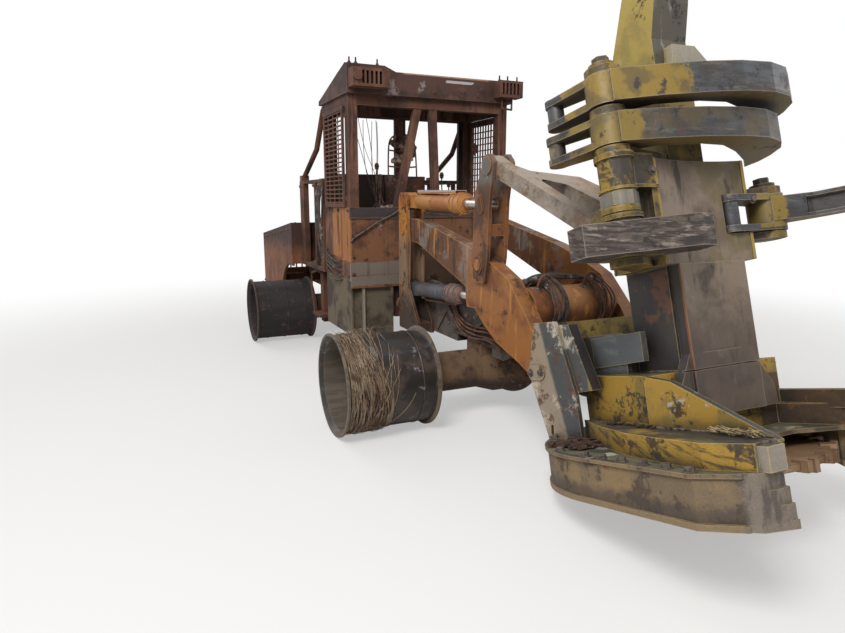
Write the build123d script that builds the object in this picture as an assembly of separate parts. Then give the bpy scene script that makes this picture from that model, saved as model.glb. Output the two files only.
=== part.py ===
from build123d import *
import math
import os

# Articulated wheeled feller buncher, burnt out, standing on its bare rims.
# Working frame: X forward from the front axle, Y to the left, Z up from the ground, millimetres.
# The written parts are moved along X so that the middle of the machine's length is at the origin.
# The felling head is drawn upright in its own frame and then tipped back on its heel.

# Wheels and axles
WHEELBASE = 3284.0
AXLE_Z = 365.0
RIM_R = 365.0
RIM_WIDTH = 680.0
RIM_MID_Y = 1090.0
RIM_WALL = 14.0
FLANGE_H = 30.0
SPINDLE_R = 70.0
AXLE_TUBE_R = 148.0
BOWL_R = (195.0, 150.0)
RUN_CLEAR = 0.06
SEAT_GAP = 0.3

# Articulation between the two frames
PIVOT_X = -1300.0
PIVOT_R = 45.0
YOKE_R = 140.0
YOKE_PLATE = 60.0
TONGUE_Z = (560.0, 740.0)

# Front frame and boom towers
FRAME_HALF = 299.7
PLATE = 25.0
FRONT_REAR_X = -1125.0
FRONT_NOSE_X = 520.0
SADDLE_Z = 582.0
ARM_Y = 380.0
ARM_W = 100.0
ARM_GAP = 5.0
TOWER_TOP_Z = 1705.0

# Linkage pins, side view (X, Z)
TILT_BASE = (-1020.0, 1630.0)
ARM_PIVOT = (-1020.0, 1400.0)
LIFT_BASE = (-1035.0, 860.0)
LIFT_EYE = (170.0, 950.0)
LEVER_PIVOT = (330.0, 1200.0)
TILT_EYE = (350.0, 1610.0)
LEVER_TOP = (430.0, 1865.0)
PIN_R = 38.0
BOSS_R = 75.0
ROD_EYE_R = 50.0
ARM_HUB = 85.0

# Cylinders: barrel radius, rod radius, length of barrel from its base pin
TILT_CYL = (66.0, 40.0, 1010.0)
LIFT_CYL = (62.0, 34.0, 960.0)
BARREL_WALL = 14.0
GLAND_STEP = 12.0
BARREL_NECK = 235.0
ROD_OVERLAP = 860.0
# Sheet cover over the tilt cylinder: half width, height above the tube, from and to along it
COVER = (48.0, 24.0, 250.0, 930.0)
# Pin keepers on the towers: length, width, and how each is turned, from the top pin down
KEEPER = (132.0, 56.0)
KEEPER_TURN = (84.0, 66.0, 90.0)

# Cab
CAB_FRONT_X = -1400.0
CAB_REAR_X = -2200.0
CAB_HALF = 820.0
CAB_FLOOR_Z = 900.3
CAB_SILL_Z = 1570.0
CAB_EAVE_Z = 2560.0
CAB_ROOF_Z = 2815.0
CAB_WALL = 30.0
ROOF_STEP_Y = 510.0
# Lamp boxes at the roof's front corners: from and to across, and their slots
LAMP_BOXES = ((-830.0, -500.0, -745.0), (630.0, 880.0, 655.0))
LAMP_SLOTS = 5
TANK_STRIP_Y = 695.0
POST = 90.0

# Rear frame and engine enclosure
REAR_END_X = -4960.0
BEAM_HALF = 400.0
BEAM_Z = (520.0, 900.0)
ENC_HALF = 960.0
BULKHEAD_X = -3150.0
ENGINE_REAR_X = REAR_END_X + 560
HOOD_HALF = CAB_HALF + 20
HOOD_Z = 1850.0
DECK_FRONT_Z = 1380.0
DECK_REAR_Z = 1180.0
SKIRT_Z = 470.0
ARCH_R = RIM_R + 160
DOOR_ROOM = 38.0
REAR_HINGE = (REAR_END_X + 12, ENC_HALF - 30)

# Felling head, in its own upright frame with the heel at the origin
HEAD_HEEL_X = 1100.0
HEAD_TILT = 16.0
HEEL_LIFT = 2.0
SAW_X = 800.0
SAW_R = 615.0
SAW_T = 32.0
SAW_Z = 90.0
TOOTH_TIP = 655.0
TOOTH_COUNT = 18
POCKET_R = 675.0
HOUSING_HALF = 750.0
HOUSING_H = 215.0
WING_BEND_X = 1490.0
WING_TIP_X = 1720.0
WING_TIP_HALF = 620.0
WING_TIP_INNER = 500.0
DECK2_Z = 320.0
PEDESTAL_Z = 560.0
PEDESTAL_HALF = 400.0
COLUMN_X = 1055.0
COLUMN_Y = 500.0
PLATE_X = 1070.0
PLATE_SEAM_Z = 1080.0
PLATE_TOP_Z = 1600.0
PLATE_WELD_Z = 560.0
PLATE_HALF = (225.0, 290.0)
SPINE_REAR_X = 750.0
SPINE_HALF = 240.0
CORE_HALF = 120.0
CHEEK_HALF = 312.0
FRAME_TOP_Z = 2050.0
HORN_TOP_Z = 2920.0
HEAD_PIN = (110.0, 603.0)
LINK_PIN = (640.0, 1330.0)
LINK_FOOT_Y = (-260.0, 240.0)
LINK_FOOT_W = 96.0
EAR = 34.0
EAR_GAP = 5.0
ARM_PIN_R = 40.0
ARM_HUB_R = 92.0
HEEL_REACH = 290.0
HEEL_EYE_R = 50.0
HEEL_ANGLE = 158.0
FORK_PLATE = 34.0
# Right column between its arms: rings (radius, low, high), nut and bearing box (low, high)
COLUMN_RINGS = ((98.0, 1303.0, 1326.0), (92.0, 1334.0, 1362.0), (90.0, 1440.0, 1452.0),
                (94.0, 1590.0, 1617.0))
COLUMN_NUT = (1366.0, 1430.0)
BEARING_Z = (1460.0, 1617.0)

FRONT_TIP_X = HEAD_HEEL_X + WING_TIP_X * math.cos(math.radians(HEAD_TILT))
ORIGIN_X = (FRONT_TIP_X + REAR_END_X) / 2


# Drawing helpers
def outline(points, radius=0.0):
    """Closed flat outline with every corner rounded to the same radius."""
    face = make_face(Polyline(*points, close=True))
    if radius:
        face = fillet(face.vertices(), radius)
    return face


def side_plate(face, y_from, y_to):
    """A side-view (X, Z) outline given thickness between two Y values."""
    plane = Plane(origin=(0, y_to, 0), x_dir=(1, 0, 0), z_dir=(0, -1, 0))
    return extrude(plane * face, amount=y_to - y_from)


def cross_plate(face, x_from, x_to):
    """A front-view (Y, Z) outline given thickness between two X values."""
    plane = Plane(origin=(x_from, 0, 0), x_dir=(0, 1, 0), z_dir=(1, 0, 0))
    return extrude(plane * face, amount=x_to - x_from)


def deck_plate(face, z_from, z_to):
    """A plan (X, Y) outline given thickness between two heights."""
    return extrude(Plane(origin=(0, 0, z_from)) * face, amount=z_to - z_from)


def block(x, y, z):
    """A box from (low, high) pairs along each axis."""
    mid = (sum(x) / 2, sum(y) / 2, sum(z) / 2)
    return Pos(*mid) * Box(x[1] - x[0], y[1] - y[0], z[1] - z[0])


def pin_y(at, radius, y_from, y_to):
    """A round bar along Y at a side-view point."""
    plane = Plane(origin=(at[0], y_from, at[1]), x_dir=(1, 0, 0), z_dir=(0, 1, 0))
    return extrude(plane * Circle(radius), amount=y_to - y_from)


def pin_x(start, radius, length):
    """A round bar along X from a point in space."""
    return extrude(Plane(origin=start, x_dir=(0, 1, 0), z_dir=(1, 0, 0)) * Circle(radius), amount=length)


def pin_z(at, radius, z_from, z_to):
    """A round bar along Z at a plan point."""
    return extrude(Plane(origin=(at[0], at[1], z_from)) * Circle(radius), amount=z_to - z_from)


def slot_y(at, size, turned, y_from, y_to):
    """A long round-ended plate in side view, turned by some degrees from level."""
    plane = Plane(origin=(at[0], y_from, at[1]), x_dir=(1, 0, 0), z_dir=(0, 1, 0))
    return extrude(plane * Rot(0, 0, turned) * SlotOverall(size[0], size[1]), amount=y_to - y_from)


def hexagon_z(at, radius, z_from, z_to):
    """A hexagonal bar along Z at a plan point."""
    plane = Plane(origin=(at[0], at[1], z_from))
    return extrude(plane * RegularPolygon(radius, 6), amount=z_to - z_from)


def bar(start, end, radius):
    """A round bar between two points in space."""
    path = Vector(*end) - Vector(*start)
    plane = Plane(origin=start, z_dir=path.normalized())
    return extrude(plane * Circle(radius), amount=path.length)


def both_sides(shape):
    """The shape and its mirror image across the middle plane."""
    return shape + mirror(shape, about=Plane.XZ)


def joined(pieces):
    """All pieces of a list fused together."""
    result = pieces[0]
    for piece in pieces[1:]:
        result = result + piece
    return result


def in_head(shape):
    """Moves a piece drawn in the head's upright frame to where the head stands."""
    return Pos(HEAD_HEEL_X, 0, HEEL_LIFT) * Rot(0, -HEAD_TILT, 0) * shape


def head_point(x, z):
    """Side-view point of the machine for a side-view point of the head's own frame."""
    a = math.radians(HEAD_TILT)
    return (HEAD_HEEL_X + x * math.cos(a) - z * math.sin(a),
            HEEL_LIFT + x * math.sin(a) + z * math.cos(a))


# Wheels and axles
def wheel(side, axle_x):
    """Bare rim: a drum with rolled flanges and a dished centre, set on its hub."""
    inner_y = RIM_MID_Y - RIM_WIDTH / 2
    outer_y = RIM_MID_Y + RIM_WIDTH / 2
    r = RIM_R
    drum_r = RIM_R - FLANGE_H
    profile = [(inner_y, r), (inner_y + 16, r), (inner_y + 30, drum_r), (outer_y - 30, drum_r),
               (outer_y - 16, r), (outer_y, r), (outer_y, r - 18), (outer_y - 34, drum_r - RIM_WALL),
               (inner_y + 34, drum_r - RIM_WALL), (inner_y, r - 18)]
    ring = make_face(Polyline(*[(y, q) for y, q in profile], close=True))
    disc_y = inner_y + 215
    disc = [(disc_y - 60, drum_r - RIM_WALL + 2), (disc_y - 38, drum_r - RIM_WALL + 2), (disc_y + 18, 225),
            (disc_y + 18, SPINDLE_R + RUN_CLEAR), (disc_y - 6, SPINDLE_R + RUN_CLEAR), (disc_y - 6, 215)]
    web = make_face(Polyline(*disc, close=True))
    plane = Plane(origin=(axle_x, 0, AXLE_Z), x_dir=(0, side, 0), z_dir=(side, 0, 0))
    axis = Axis((axle_x, 0, AXLE_Z), (0, 1, 0))
    body = revolve(plane * ring, axis) + revolve(plane * web, axis)
    hub_y = side * (disc_y + 18)
    for k in range(8):
        angle = math.radians(k * 45 + 22.5)
        at = (axle_x + 165 * math.cos(angle), AXLE_Z + 165 * math.sin(angle))
        body += pin_y(at, 20, min(hub_y, hub_y + side * 30), max(hub_y, hub_y + side * 30))
    return body


def axle(axle_x, bowl_side, bowl_r, saddle_z):
    """Axle housing with its bowl, hub flanges and the spindles that carry the wheels."""
    hub_face = RIM_MID_Y - RIM_WIDTH / 2 + 215 - 6 - SEAT_GAP
    inner_y = RIM_MID_Y - RIM_WIDTH / 2
    half = [(0, 0), (0, bowl_r), (150, bowl_r), (300, AXLE_TUBE_R), (inner_y - 60, AXLE_TUBE_R),
            (inner_y - 40, 205), (hub_face, 205), (hub_face, SPINDLE_R), (hub_face + 150, SPINDLE_R),
            (hub_face + 150, 0)]
    face = make_face(Polyline(*half, close=True))
    plane = Plane(origin=(axle_x, 0, AXLE_Z), x_dir=(0, 1, 0), z_dir=(1, 0, 0))
    body = both_sides(revolve(plane * face, Axis((axle_x, 0, AXLE_Z), (0, 1, 0))))
    bowl = Pos(axle_x + bowl_side * 90, 0, AXLE_Z) * Sphere(bowl_r)
    pads = both_sides(block((axle_x - 110, axle_x + 110), (210, 300), (AXLE_Z + 60, saddle_z - SEAT_GAP)))
    start = axle_x + bowl_side * (bowl_r + 60)
    cover = pin_x((start if bowl_side > 0 else start - 50, 0, AXLE_Z), 66, 50)
    mouth_x = start + bowl_side * 34
    cover -= pin_x((mouth_x if bowl_side > 0 else mouth_x - 20, 0, AXLE_Z), 34, 20)
    return body + bowl + pads + cover


# Front frame, towers and boom
def front_frame():
    """Box frame over the front axle with a tongue for the articulation pin."""
    side = outline([(FRONT_REAR_X, BEAM_Z[0]), (FRONT_REAR_X, 800), (-760, 960), (FRONT_NOSE_X - 180, 880),
                    (FRONT_NOSE_X, 720), (FRONT_NOSE_X, 600), (FRONT_NOSE_X - 90, BEAM_Z[0])], 40)
    body = both_sides(side_plate(side, FRAME_HALF - PLATE, FRAME_HALF))
    inner = FRAME_HALF - PLATE
    body += block((FRONT_REAR_X, FRONT_REAR_X + 40), (-inner, inner), (BEAM_Z[0], 800))
    body += block((FRONT_NOSE_X - 60, FRONT_NOSE_X - 15), (-inner, inner), (590, 730))
    body += block((FRONT_REAR_X, FRONT_NOSE_X - 120), (-inner, inner), (BEAM_Z[0], BEAM_Z[0] + 22))
    body += block((-420, -380), (-inner, inner), (BEAM_Z[0], 860))
    body += block((-300, 300), (-inner, inner), (SADDLE_Z, SADDLE_Z + 22))
    body -= block((-270, 270), (-FRAME_HALF - 1, FRAME_HALF + 1), (BEAM_Z[0] - 5, SADDLE_Z))
    for foot, top in (((-640, 560), (-330, 900)), ((-560, 860), (-250, 640)), ((-40, 640), (180, 800))):
        along = Vector(top[0] - foot[0], top[1] - foot[1]).normalized() * 26
        brace = outline([(foot[0] - along.Y, foot[1] + along.X), (top[0] - along.Y, top[1] + along.X),
                         (top[0] + along.Y, top[1] - along.X), (foot[0] + along.Y, foot[1] - along.X)])
        body += both_sides(side_plate(brace, FRAME_HALF - 1, FRAME_HALF + 14))
    tongue = block((PIVOT_X, FRONT_REAR_X + 20), (-100, 100), TONGUE_Z) + pin_z((PIVOT_X, 0), 100, *TONGUE_Z)
    return body + tongue - pin_z((PIVOT_X, 0), PIVOT_R + RUN_CLEAR, 0, 1000)


def boom_tower():
    """Twin-plate towers with the pins for the arms and cylinders."""
    outer = (ARM_Y + ARM_W / 2 + ARM_GAP, ARM_Y + ARM_W / 2 + ARM_GAP + PLATE)
    inner = (ARM_Y - ARM_W / 2 - ARM_GAP - PLATE, ARM_Y - ARM_W / 2 - ARM_GAP)
    shape = outline([(-1105, 850), (-1105, TOWER_TOP_Z - 60), (-1070, TOWER_TOP_Z), (-985, TOWER_TOP_Z),
                     (-930, TOWER_TOP_Z - 60), (-900, 1300), (-915, 900), (-700, 600), (-700, 500),
                     (-1105, 500)], 24)
    body = side_plate(shape, *outer) + side_plate(shape, *inner)
    body += block((-1080, -740), (inner[1] - 1, outer[0] + 1), (520, 590))
    for at, turned in zip((TILT_BASE, ARM_PIVOT, LIFT_BASE), KEEPER_TURN):
        body += pin_y(at, PIN_R, inner[0] + 1, outer[1] + 4)
        body += slot_y(at, KEEPER, turned, outer[1] - 1, outer[1] + 14)
        body -= slot_y(at, (KEEPER[0] - 44, 20), turned, outer[1] + 6, outer[1] + 20)
    stub = outline([(outer[1] - 1, 670), (outer[1] - 1, 765), (outer[1] + 14, 765), (outer[1] + 30, 730),
                    (outer[1] + 30, 700)])
    body += cross_plate(stub, -1105, -1070)
    return both_sides(body) + block((-1100, -1075), (-inner[0] - 1, inner[0] + 1), (830, 1280))


def arm_shape():
    """Side outline of a lift arm: a straight beam that turns down into a broad plate."""
    ax, az = ARM_PIVOT
    pin = head_point(*HEAD_PIN)
    return outline([(ax - 20, az - ARM_HUB), (ax - 20, az + ARM_HUB), (-740, 1480), (130, 1310), (410, 1235),
                    (660, 1135), (880, 930), (990, 800), (pin[0] + 60, pin[1] + 50),
                    (pin[0] + 20, pin[1] - 70), (pin[0] - 80, pin[1] - 50), (830, 610), (540, 690),
                    (350, 790), (230, 880), (110, 870), (90, 1020), (-740, 1275)], 22)


def lift_arms():
    """Both arms with their cross tube, bored for the pins they turn on."""
    pin = head_point(*HEAD_PIN)
    y = (ARM_Y - ARM_W / 2, ARM_Y + ARM_W / 2)
    body = side_plate(arm_shape(), *y)
    body += pin_y(ARM_PIVOT, ARM_HUB, *y)
    body += pin_y(pin, BOSS_R, *y)
    slot = block((LIFT_EYE[0] - 110, LIFT_EYE[0] + 70), (ARM_Y - 41, ARM_Y + 41),
                 (LIFT_EYE[1] - 120, LIFT_EYE[1] + 100))
    body -= slot
    body -= pin_y(ARM_PIVOT, PIN_R + RUN_CLEAR, y[0] - 1, y[1] + 1)
    body -= pin_y(pin, PIN_R + RUN_CLEAR, y[0] - 1, y[1] + 1)
    tube = pin_y((700, 930), 150, -y[0], y[0]) - pin_y((700, 930), 134, -y[0], y[0])
    lever_pin = pin_y(LEVER_PIVOT, PIN_R, y[0] - 48, y[1] + 48)
    right = mirror(body, about=Plane.XZ) + mirror(lever_pin, about=Plane.XZ)
    return body + right + tube


def lever():
    """Tilt lever: two tall plates either side of the right arm, tied by a block at mid height."""
    gap = ARM_W / 2 + ARM_GAP
    (px, pz), (ex, ez), (tx, tz) = LEVER_PIVOT, TILT_EYE, LEVER_TOP
    shape = outline([(px - 70, pz - 120), (px + 75, pz - 120), (px + 110, pz + 60), (ex + 105, ez + 20),
                     (tx + 70, tz + 20), (tx + 30, tz + 75), (tx - 40, tz + 70), (ex - 85, ez + 80),
                     (ex - 90, ez - 120), (px - 100, pz + 60)], 28)
    plates = side_plate(shape, -ARM_Y - gap - PLATE, -ARM_Y - gap)
    plates += side_plate(shape, -ARM_Y + gap, -ARM_Y + gap + PLATE)
    tie = block((px + 20, px + 104), (-ARM_Y - gap, -ARM_Y + gap), (pz + 200, pz + 280))
    bore = pin_y(LEVER_PIVOT, PIN_R + RUN_CLEAR, -ARM_Y - 200, -ARM_Y + 200)
    for face_y, out in ((-ARM_Y - gap - PLATE, -1), (-ARM_Y + gap + PLATE, 1)):
        step = sorted((face_y - out, face_y + out * 14))
        plates += pin_y(LEVER_TOP, BOSS_R - 15, *step) + slot_y(TILT_EYE, KEEPER, 68, *step)
        plates += pin_y(LEVER_PIVOT, BOSS_R - 10, *step)
    return plates + tie - bore


def tilt_link():
    """A-shaped tilt link: one nose at the lever, two feet at the head, two windows."""
    foot = head_point(*LINK_PIN)
    tx, tz = LEVER_TOP
    run = math.hypot(foot[0] - tx, foot[1] - tz)
    y0, y1 = LINK_FOOT_Y
    nose = -ARM_Y
    half = LINK_FOOT_W / 2
    plan = outline([(-50, nose - 48), (120, nose - 48), (run - 90, y0 - half), (run + 62, y0 - half),
                    (run + 62, y0 + half), (run - 90, y0 + half), (run - 90, y1 - half),
                    (run + 62, y1 - half),
                    (run + 62, y1 + half), (run - 110, y1 + half), (300, y1 - 180), (210, nose + 110),
                    (120, nose + 48), (-50, nose + 48)], 20)
    window_a = outline([(330, nose + 90), (run - 170, y0 + 20), (run - 190, -20), (430, nose + 250)], 26)
    window_b = outline([(440, -20), (run - 190, 60), (run - 190, y1 - 60)], 26)
    body = extrude(plan - window_a - window_b, amount=50, both=True)
    slope = math.degrees(math.atan2(tz - foot[1], foot[0] - tx))
    placed = Pos(tx, 0, tz) * Rot(0, slope, 0) * body
    for y in LINK_FOOT_Y:
        placed -= pin_y(foot, PIN_R + RUN_CLEAR, y - 120, y + 120)
    return placed


def barrel(base, eye, side_y, size):
    """Cylinder barrel: eye on its base pin, bored tube, gland at the open end."""
    radius, rod_r, length = size
    slope = math.degrees(math.atan2(base[1] - eye[1], eye[0] - base[0]))
    tube = extrude(Plane.YZ.offset(BARREL_NECK) * Circle(radius), amount=length - BARREL_NECK)
    gland = extrude(Plane.YZ.offset(length - 120) * Circle(radius + GLAND_STEP), amount=120)
    eye_block = extrude(Plane.XZ * Circle(BOSS_R), amount=44, both=True)
    eye_block += block((0, BARREL_NECK + 20), (-44, 44), (-BOSS_R + 20, BOSS_R - 20))
    body = tube + gland + eye_block
    hollow = Plane.YZ.offset(BARREL_NECK + 30) * Circle(radius - BARREL_WALL)
    body -= extrude(hollow, amount=length - BARREL_NECK - 150)
    body -= extrude(Plane.YZ.offset(length - 200) * Circle(rod_r + RUN_CLEAR), amount=400)
    body -= extrude(Plane.XZ * Circle(PIN_R + RUN_CLEAR), amount=200, both=True)
    return Pos(base[0], side_y, base[1]) * Rot(0, slope, 0) * body


def tilt_barrel():
    """Tilt cylinder barrel with its folded sheet cover on two feet."""
    half, lift, low, high = COVER
    top = TILT_CYL[0] + lift
    cover = block((low, high), (-half, half), (top, top + 6))
    cover += both_sides(block((low, high), (half - 6, half), (top - 22, top + 3)))
    for at in (low + 60, high - 110):
        cover += block((at, at + 40), (-20, 20), (TILT_CYL[0] - 6, top + 3))
    slope = math.degrees(math.atan2(TILT_BASE[1] - TILT_EYE[1], TILT_EYE[0] - TILT_BASE[0]))
    placed = Pos(TILT_BASE[0], -ARM_Y, TILT_BASE[1]) * Rot(0, slope, 0) * cover
    return barrel(TILT_BASE, TILT_EYE, -ARM_Y, TILT_CYL) + placed


def rod(base, eye, side_y, size):
    """Cylinder rod with its piston end inside the barrel and an eye at the far end."""
    radius, rod_r, length = size
    slope = math.degrees(math.atan2(base[1] - eye[1], eye[0] - base[0]))
    run = math.hypot(eye[0] - base[0], eye[1] - base[1])
    shaft = extrude(Plane.YZ.offset(run - ROD_OVERLAP) * Circle(rod_r), amount=ROD_OVERLAP - 20)
    head = extrude(Plane.XZ * Circle(ROD_EYE_R), amount=30, both=True)
    head -= extrude(Plane.XZ * Circle(PIN_R), amount=90, both=True)
    shaft -= extrude(Plane.XZ * Circle(PIN_R), amount=90, both=True).moved(Location((run, 0, 0)))
    return Pos(base[0], side_y, base[1]) * Rot(0, slope, 0) * (shaft + Pos(run, 0, 0) * head)


# Rear frame, cab and engine enclosure
def rear_frame():
    """Side beams, belly and yoke plates with the articulation pin."""
    front = PIVOT_X - 160
    side = outline([(front, BEAM_Z[0]), (front, BEAM_Z[1]), (REAR_END_X + 160, BEAM_Z[1]),
                    (REAR_END_X + 160, BEAM_Z[0])], 30)
    body = both_sides(side_plate(side, BEAM_HALF - 40, BEAM_HALF))
    inner = BEAM_HALF - 40
    body += block((front - 40, front), (-inner, inner), BEAM_Z)
    body += block((REAR_END_X + 160, REAR_END_X + 200), (-inner, inner), BEAM_Z)
    body += block((ENGINE_REAR_X, front), (-inner, inner), (BEAM_Z[0], BEAM_Z[0] + 20))
    for low in (TONGUE_Z[0] - SEAT_GAP - YOKE_PLATE, TONGUE_Z[1] + SEAT_GAP):
        z = (low, low + YOKE_PLATE)
        body += block((front - 10, PIVOT_X), (-YOKE_R, YOKE_R), z) + pin_z((PIVOT_X, 0), YOKE_R, *z)
    low, high = TONGUE_Z[0] - SEAT_GAP - YOKE_PLATE, TONGUE_Z[1] + SEAT_GAP + YOKE_PLATE
    body += block((front - 20, front), (-YOKE_R, YOKE_R), (low, BEAM_Z[0] + 20))
    return body + pin_z((PIVOT_X, 0), PIVOT_R, low - 10, high + 14)


def side_tanks():
    """Saddle tanks under the cab, each with two recessed front panels."""
    x = (CAB_REAR_X, CAB_FRONT_X)
    y = (BEAM_HALF + SEAT_GAP, CAB_HALF)
    z = (380.0, CAB_FLOOR_Z - SEAT_GAP)
    body = block(x, y, z)
    for low, high in ((y[0] + 20, TANK_STRIP_Y - 10), (TANK_STRIP_Y + 10, y[1] - 16)):
        body -= block((CAB_FRONT_X - 35, CAB_FRONT_X + 5), (low, high), (z[0] + 60, z[1] - 60))
    return both_sides(body)


def cab_base():
    """Lower tub of the cab: floor, front panel, side panels and rear panel."""
    x = (CAB_REAR_X, CAB_FRONT_X)
    z = (CAB_FLOOR_Z, CAB_SILL_Z)
    tub = block(x, (-CAB_HALF, CAB_HALF), z)
    tub -= block((x[0] + CAB_WALL, x[1] - CAB_WALL), (-CAB_HALF + CAB_WALL, CAB_HALF - CAB_WALL),
                 (z[0] + CAB_WALL, z[1] + 10))
    door = block((CAB_REAR_X + POST, CAB_FRONT_X - POST), (CAB_HALF - CAB_WALL - 1, CAB_HALF + 1),
                 (z[0] + CAB_WALL, z[1] + 10))
    front = CAB_FRONT_X
    tub += block((front - 1, front + 12), (-CAB_HALF, CAB_HALF), (z[1] - 100, z[1] - 88))
    tub += block((front + SEAT_GAP, front + 16), (-CAB_HALF, CAB_HALF), (z[0] - 68, z[0] + 40))
    tub += block((front - 1, front + 16), (-CAB_HALF, CAB_HALF), (z[0] + 5, z[0] + 40))
    for seam_y in (-470, 470):
        tub += block((front - 1, front + 9), (seam_y - 12, seam_y + 12), (z[0] + 39, z[1] - 99))
    tub += block((x[0] + 130, x[1] - 250), (-CAB_HALF - 8, -CAB_HALF + 1), (z[1] - 470, z[1] - 50))
    return tub - door


def cab_frame():
    """Posts, two front guard posts and the rear window wall."""
    z = (CAB_SILL_Z + SEAT_GAP, CAB_EAVE_Z)
    front = (CAB_FRONT_X - POST, CAB_FRONT_X)
    rear = (CAB_REAR_X, CAB_REAR_X + POST)
    side = (CAB_HALF - POST, CAB_HALF)
    body = both_sides(block(front, side, z) + block(rear, side, z))
    header = (CAB_EAVE_Z - 90, CAB_EAVE_Z)
    inner = CAB_HALF - POST
    body += block(front, (-inner, inner), header) + block(rear, (-inner, inner), header)
    body += both_sides(block((rear[1], front[0]), (CAB_HALF - 60, CAB_HALF), header))
    wall = block((CAB_REAR_X, CAB_REAR_X + 40), (-inner, inner), z)
    wall -= block((CAB_REAR_X - 5, CAB_REAR_X + 45), (-inner + 40, -60), (1900, CAB_EAVE_Z - 100))
    wall -= block((CAB_REAR_X - 5, CAB_REAR_X + 45), (60, inner - 40), (1700, CAB_EAVE_Z - 100))
    body += wall
    body += both_sides(block((front[1] - 1, front[1] + 8), (CAB_HALF - 42, CAB_HALF - 2), z))
    for foot_y, top_y in ((-340, -130), (60, 20)):
        top_z = header[0] + 20
        face = outline([(foot_y - 38, z[0]), (foot_y + 38, z[0]), (top_y + 38, top_z), (top_y - 38, top_z)])
        body += cross_plate(face, CAB_FRONT_X - 60, CAB_FRONT_X - 10)
    return body


def cab_roof():
    """Roof slab, highest over the right front corner, falling to the rear, with lamp housings."""
    rear, front = CAB_REAR_X - 60, CAB_FRONT_X + 60
    seat_z = CAB_EAVE_Z + SEAT_GAP
    side = outline([(rear, seat_z), (rear, CAB_EAVE_Z + 40), (CAB_FRONT_X - 250, CAB_ROOF_Z - 60),
                    (front - 60, CAB_ROOF_Z), (front, CAB_ROOF_Z - 10), (front, seat_z)])
    body = side_plate(side, -CAB_HALF - 20, CAB_HALF + 20)
    brow = outline([(-CAB_HALF - 21, seat_z - 1), (-CAB_HALF - 21, CAB_ROOF_Z), (-ROOF_STEP_Y, CAB_ROOF_Z),
                    (-ROOF_STEP_Y + 130, CAB_ROOF_Z - 55), (CAB_HALF + 21, CAB_ROOF_Z - 50),
                    (CAB_HALF + 21, seat_z - 1)])
    body = body & cross_plate(brow, rear - 1, front + 1)
    shell = block((CAB_REAR_X + 60, CAB_FRONT_X - 60), (-CAB_HALF + 80, CAB_HALF - 80),
                  (CAB_EAVE_Z - 5, CAB_EAVE_Z + 60))
    return body - shell


def lamp_boxes():
    """Roof lamp boxes at both front corners, slotted in front, one round lamp and the left hoop."""
    x = (CAB_FRONT_X + 60 + SEAT_GAP, CAB_FRONT_X + 190)
    z = (CAB_EAVE_Z + 40, CAB_EAVE_Z + 190)
    boxes = []
    for low, high, first in LAMP_BOXES:
        box = block(x, (low, high), z)
        for k in range(LAMP_SLOTS):
            at = first + k * 40
            box -= block((x[1] - 70, x[1] + 10), (at, at + 24), (z[0] + 22, z[1] - 22))
        boxes.append(box)
    lamp = Plane.YZ.offset(x[1] - 1) * Pos(LAMP_BOXES[0][0] + 40, z[0] + 82) * Circle(38)
    hoop = [(x[0] + 60, 690, z[0] + 10), (x[0] + 60, 690, z[0] - 96),
            (x[0] + 60, 800, z[0] - 104), (x[0] + 60, 800, z[0] + 10)]
    rails = [bar(a, b, 9) for a, b in zip(hoop, hoop[1:])] + [Pos(*at) * Sphere(9) for at in hoop[1:3]]
    return boxes[0] + extrude(lamp, amount=30) + boxes[1] + joined(rails)


def window_guard():
    """Right side window guard: a frame with horizontal louvre bars."""
    x = (CAB_REAR_X + POST + 5, CAB_FRONT_X - POST - 5)
    z = (CAB_SILL_Z + 5, CAB_EAVE_Z - 95)
    y = (-CAB_HALF - 26, -CAB_HALF - 6)
    body = block(x, y, z) - block((x[0] + 30, x[1] - 30), (y[0] - 1, y[1] + 1), (z[0] + 30, z[1] - 30))
    count = 22
    for k in range(1, count):
        at = z[0] + (z[1] - z[0]) * k / count
        body += block((x[0] + 20, x[1] - 20), (y[0] + 5, y[1] - 5), (at - 6, at + 6))
    for k in (1, 2, 3):
        at = x[0] + (x[1] - x[0]) * k / 4
        body += block((at - 5, at + 5), (y[0] + 6, y[1] - 6), (z[0] + 20, z[1] - 20))
    feet = [block((a, a + 40), (y[1] - 1, -CAB_HALF - SEAT_GAP), (b, b + 40))
            for a in (x[0] - 30, x[1] - 10) for b in (z[0] + 60, z[1] - 100)]
    return body + joined(feet)


def cab_door():
    """Left door: lower panel and a barred window, hung on two hinges at its rear edge."""
    x = (CAB_REAR_X + POST + 8, CAB_FRONT_X - POST - 8)
    y = (CAB_HALF - CAB_WALL, CAB_HALF)
    z = (CAB_FLOOR_Z + CAB_WALL + 8, CAB_EAVE_Z - 98)
    body = block(x, y, z) - block((x[0] + 60, x[1] - 60), (y[0] - 1, y[1] + 1), (CAB_SILL_Z + 20, z[1] - 60))
    for k in range(1, 9):
        at = x[0] + 60 + (x[1] - x[0] - 120) * k / 9
        body += block((at - 5, at + 5), (y[0] + 8, y[1] - 8), (CAB_SILL_Z + 10, z[1] - 50))
    for k in range(1, 13):
        at = CAB_SILL_Z + 20 + (z[1] - 60 - CAB_SILL_Z - 20) * k / 13
        body += block((x[0] + 50, x[1] - 50), (y[0] + 9, y[1] - 9), (at - 5, at + 5))
    hinge_y = CAB_HALF + 30
    for low in (z[0] + 200, z[1] - 320):
        body += block((x[0] + 6, x[0] + 60), (CAB_HALF - 5, hinge_y + 16), (low, low + 90))
        body += block((x[0] - 18, x[0] + 60), (hinge_y - 16, hinge_y + 16), (low, low + 90))
        body -= pin_z((x[0] - 2, hinge_y), 12 + RUN_CLEAR, low - 1, low + 91)
    return body


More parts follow.
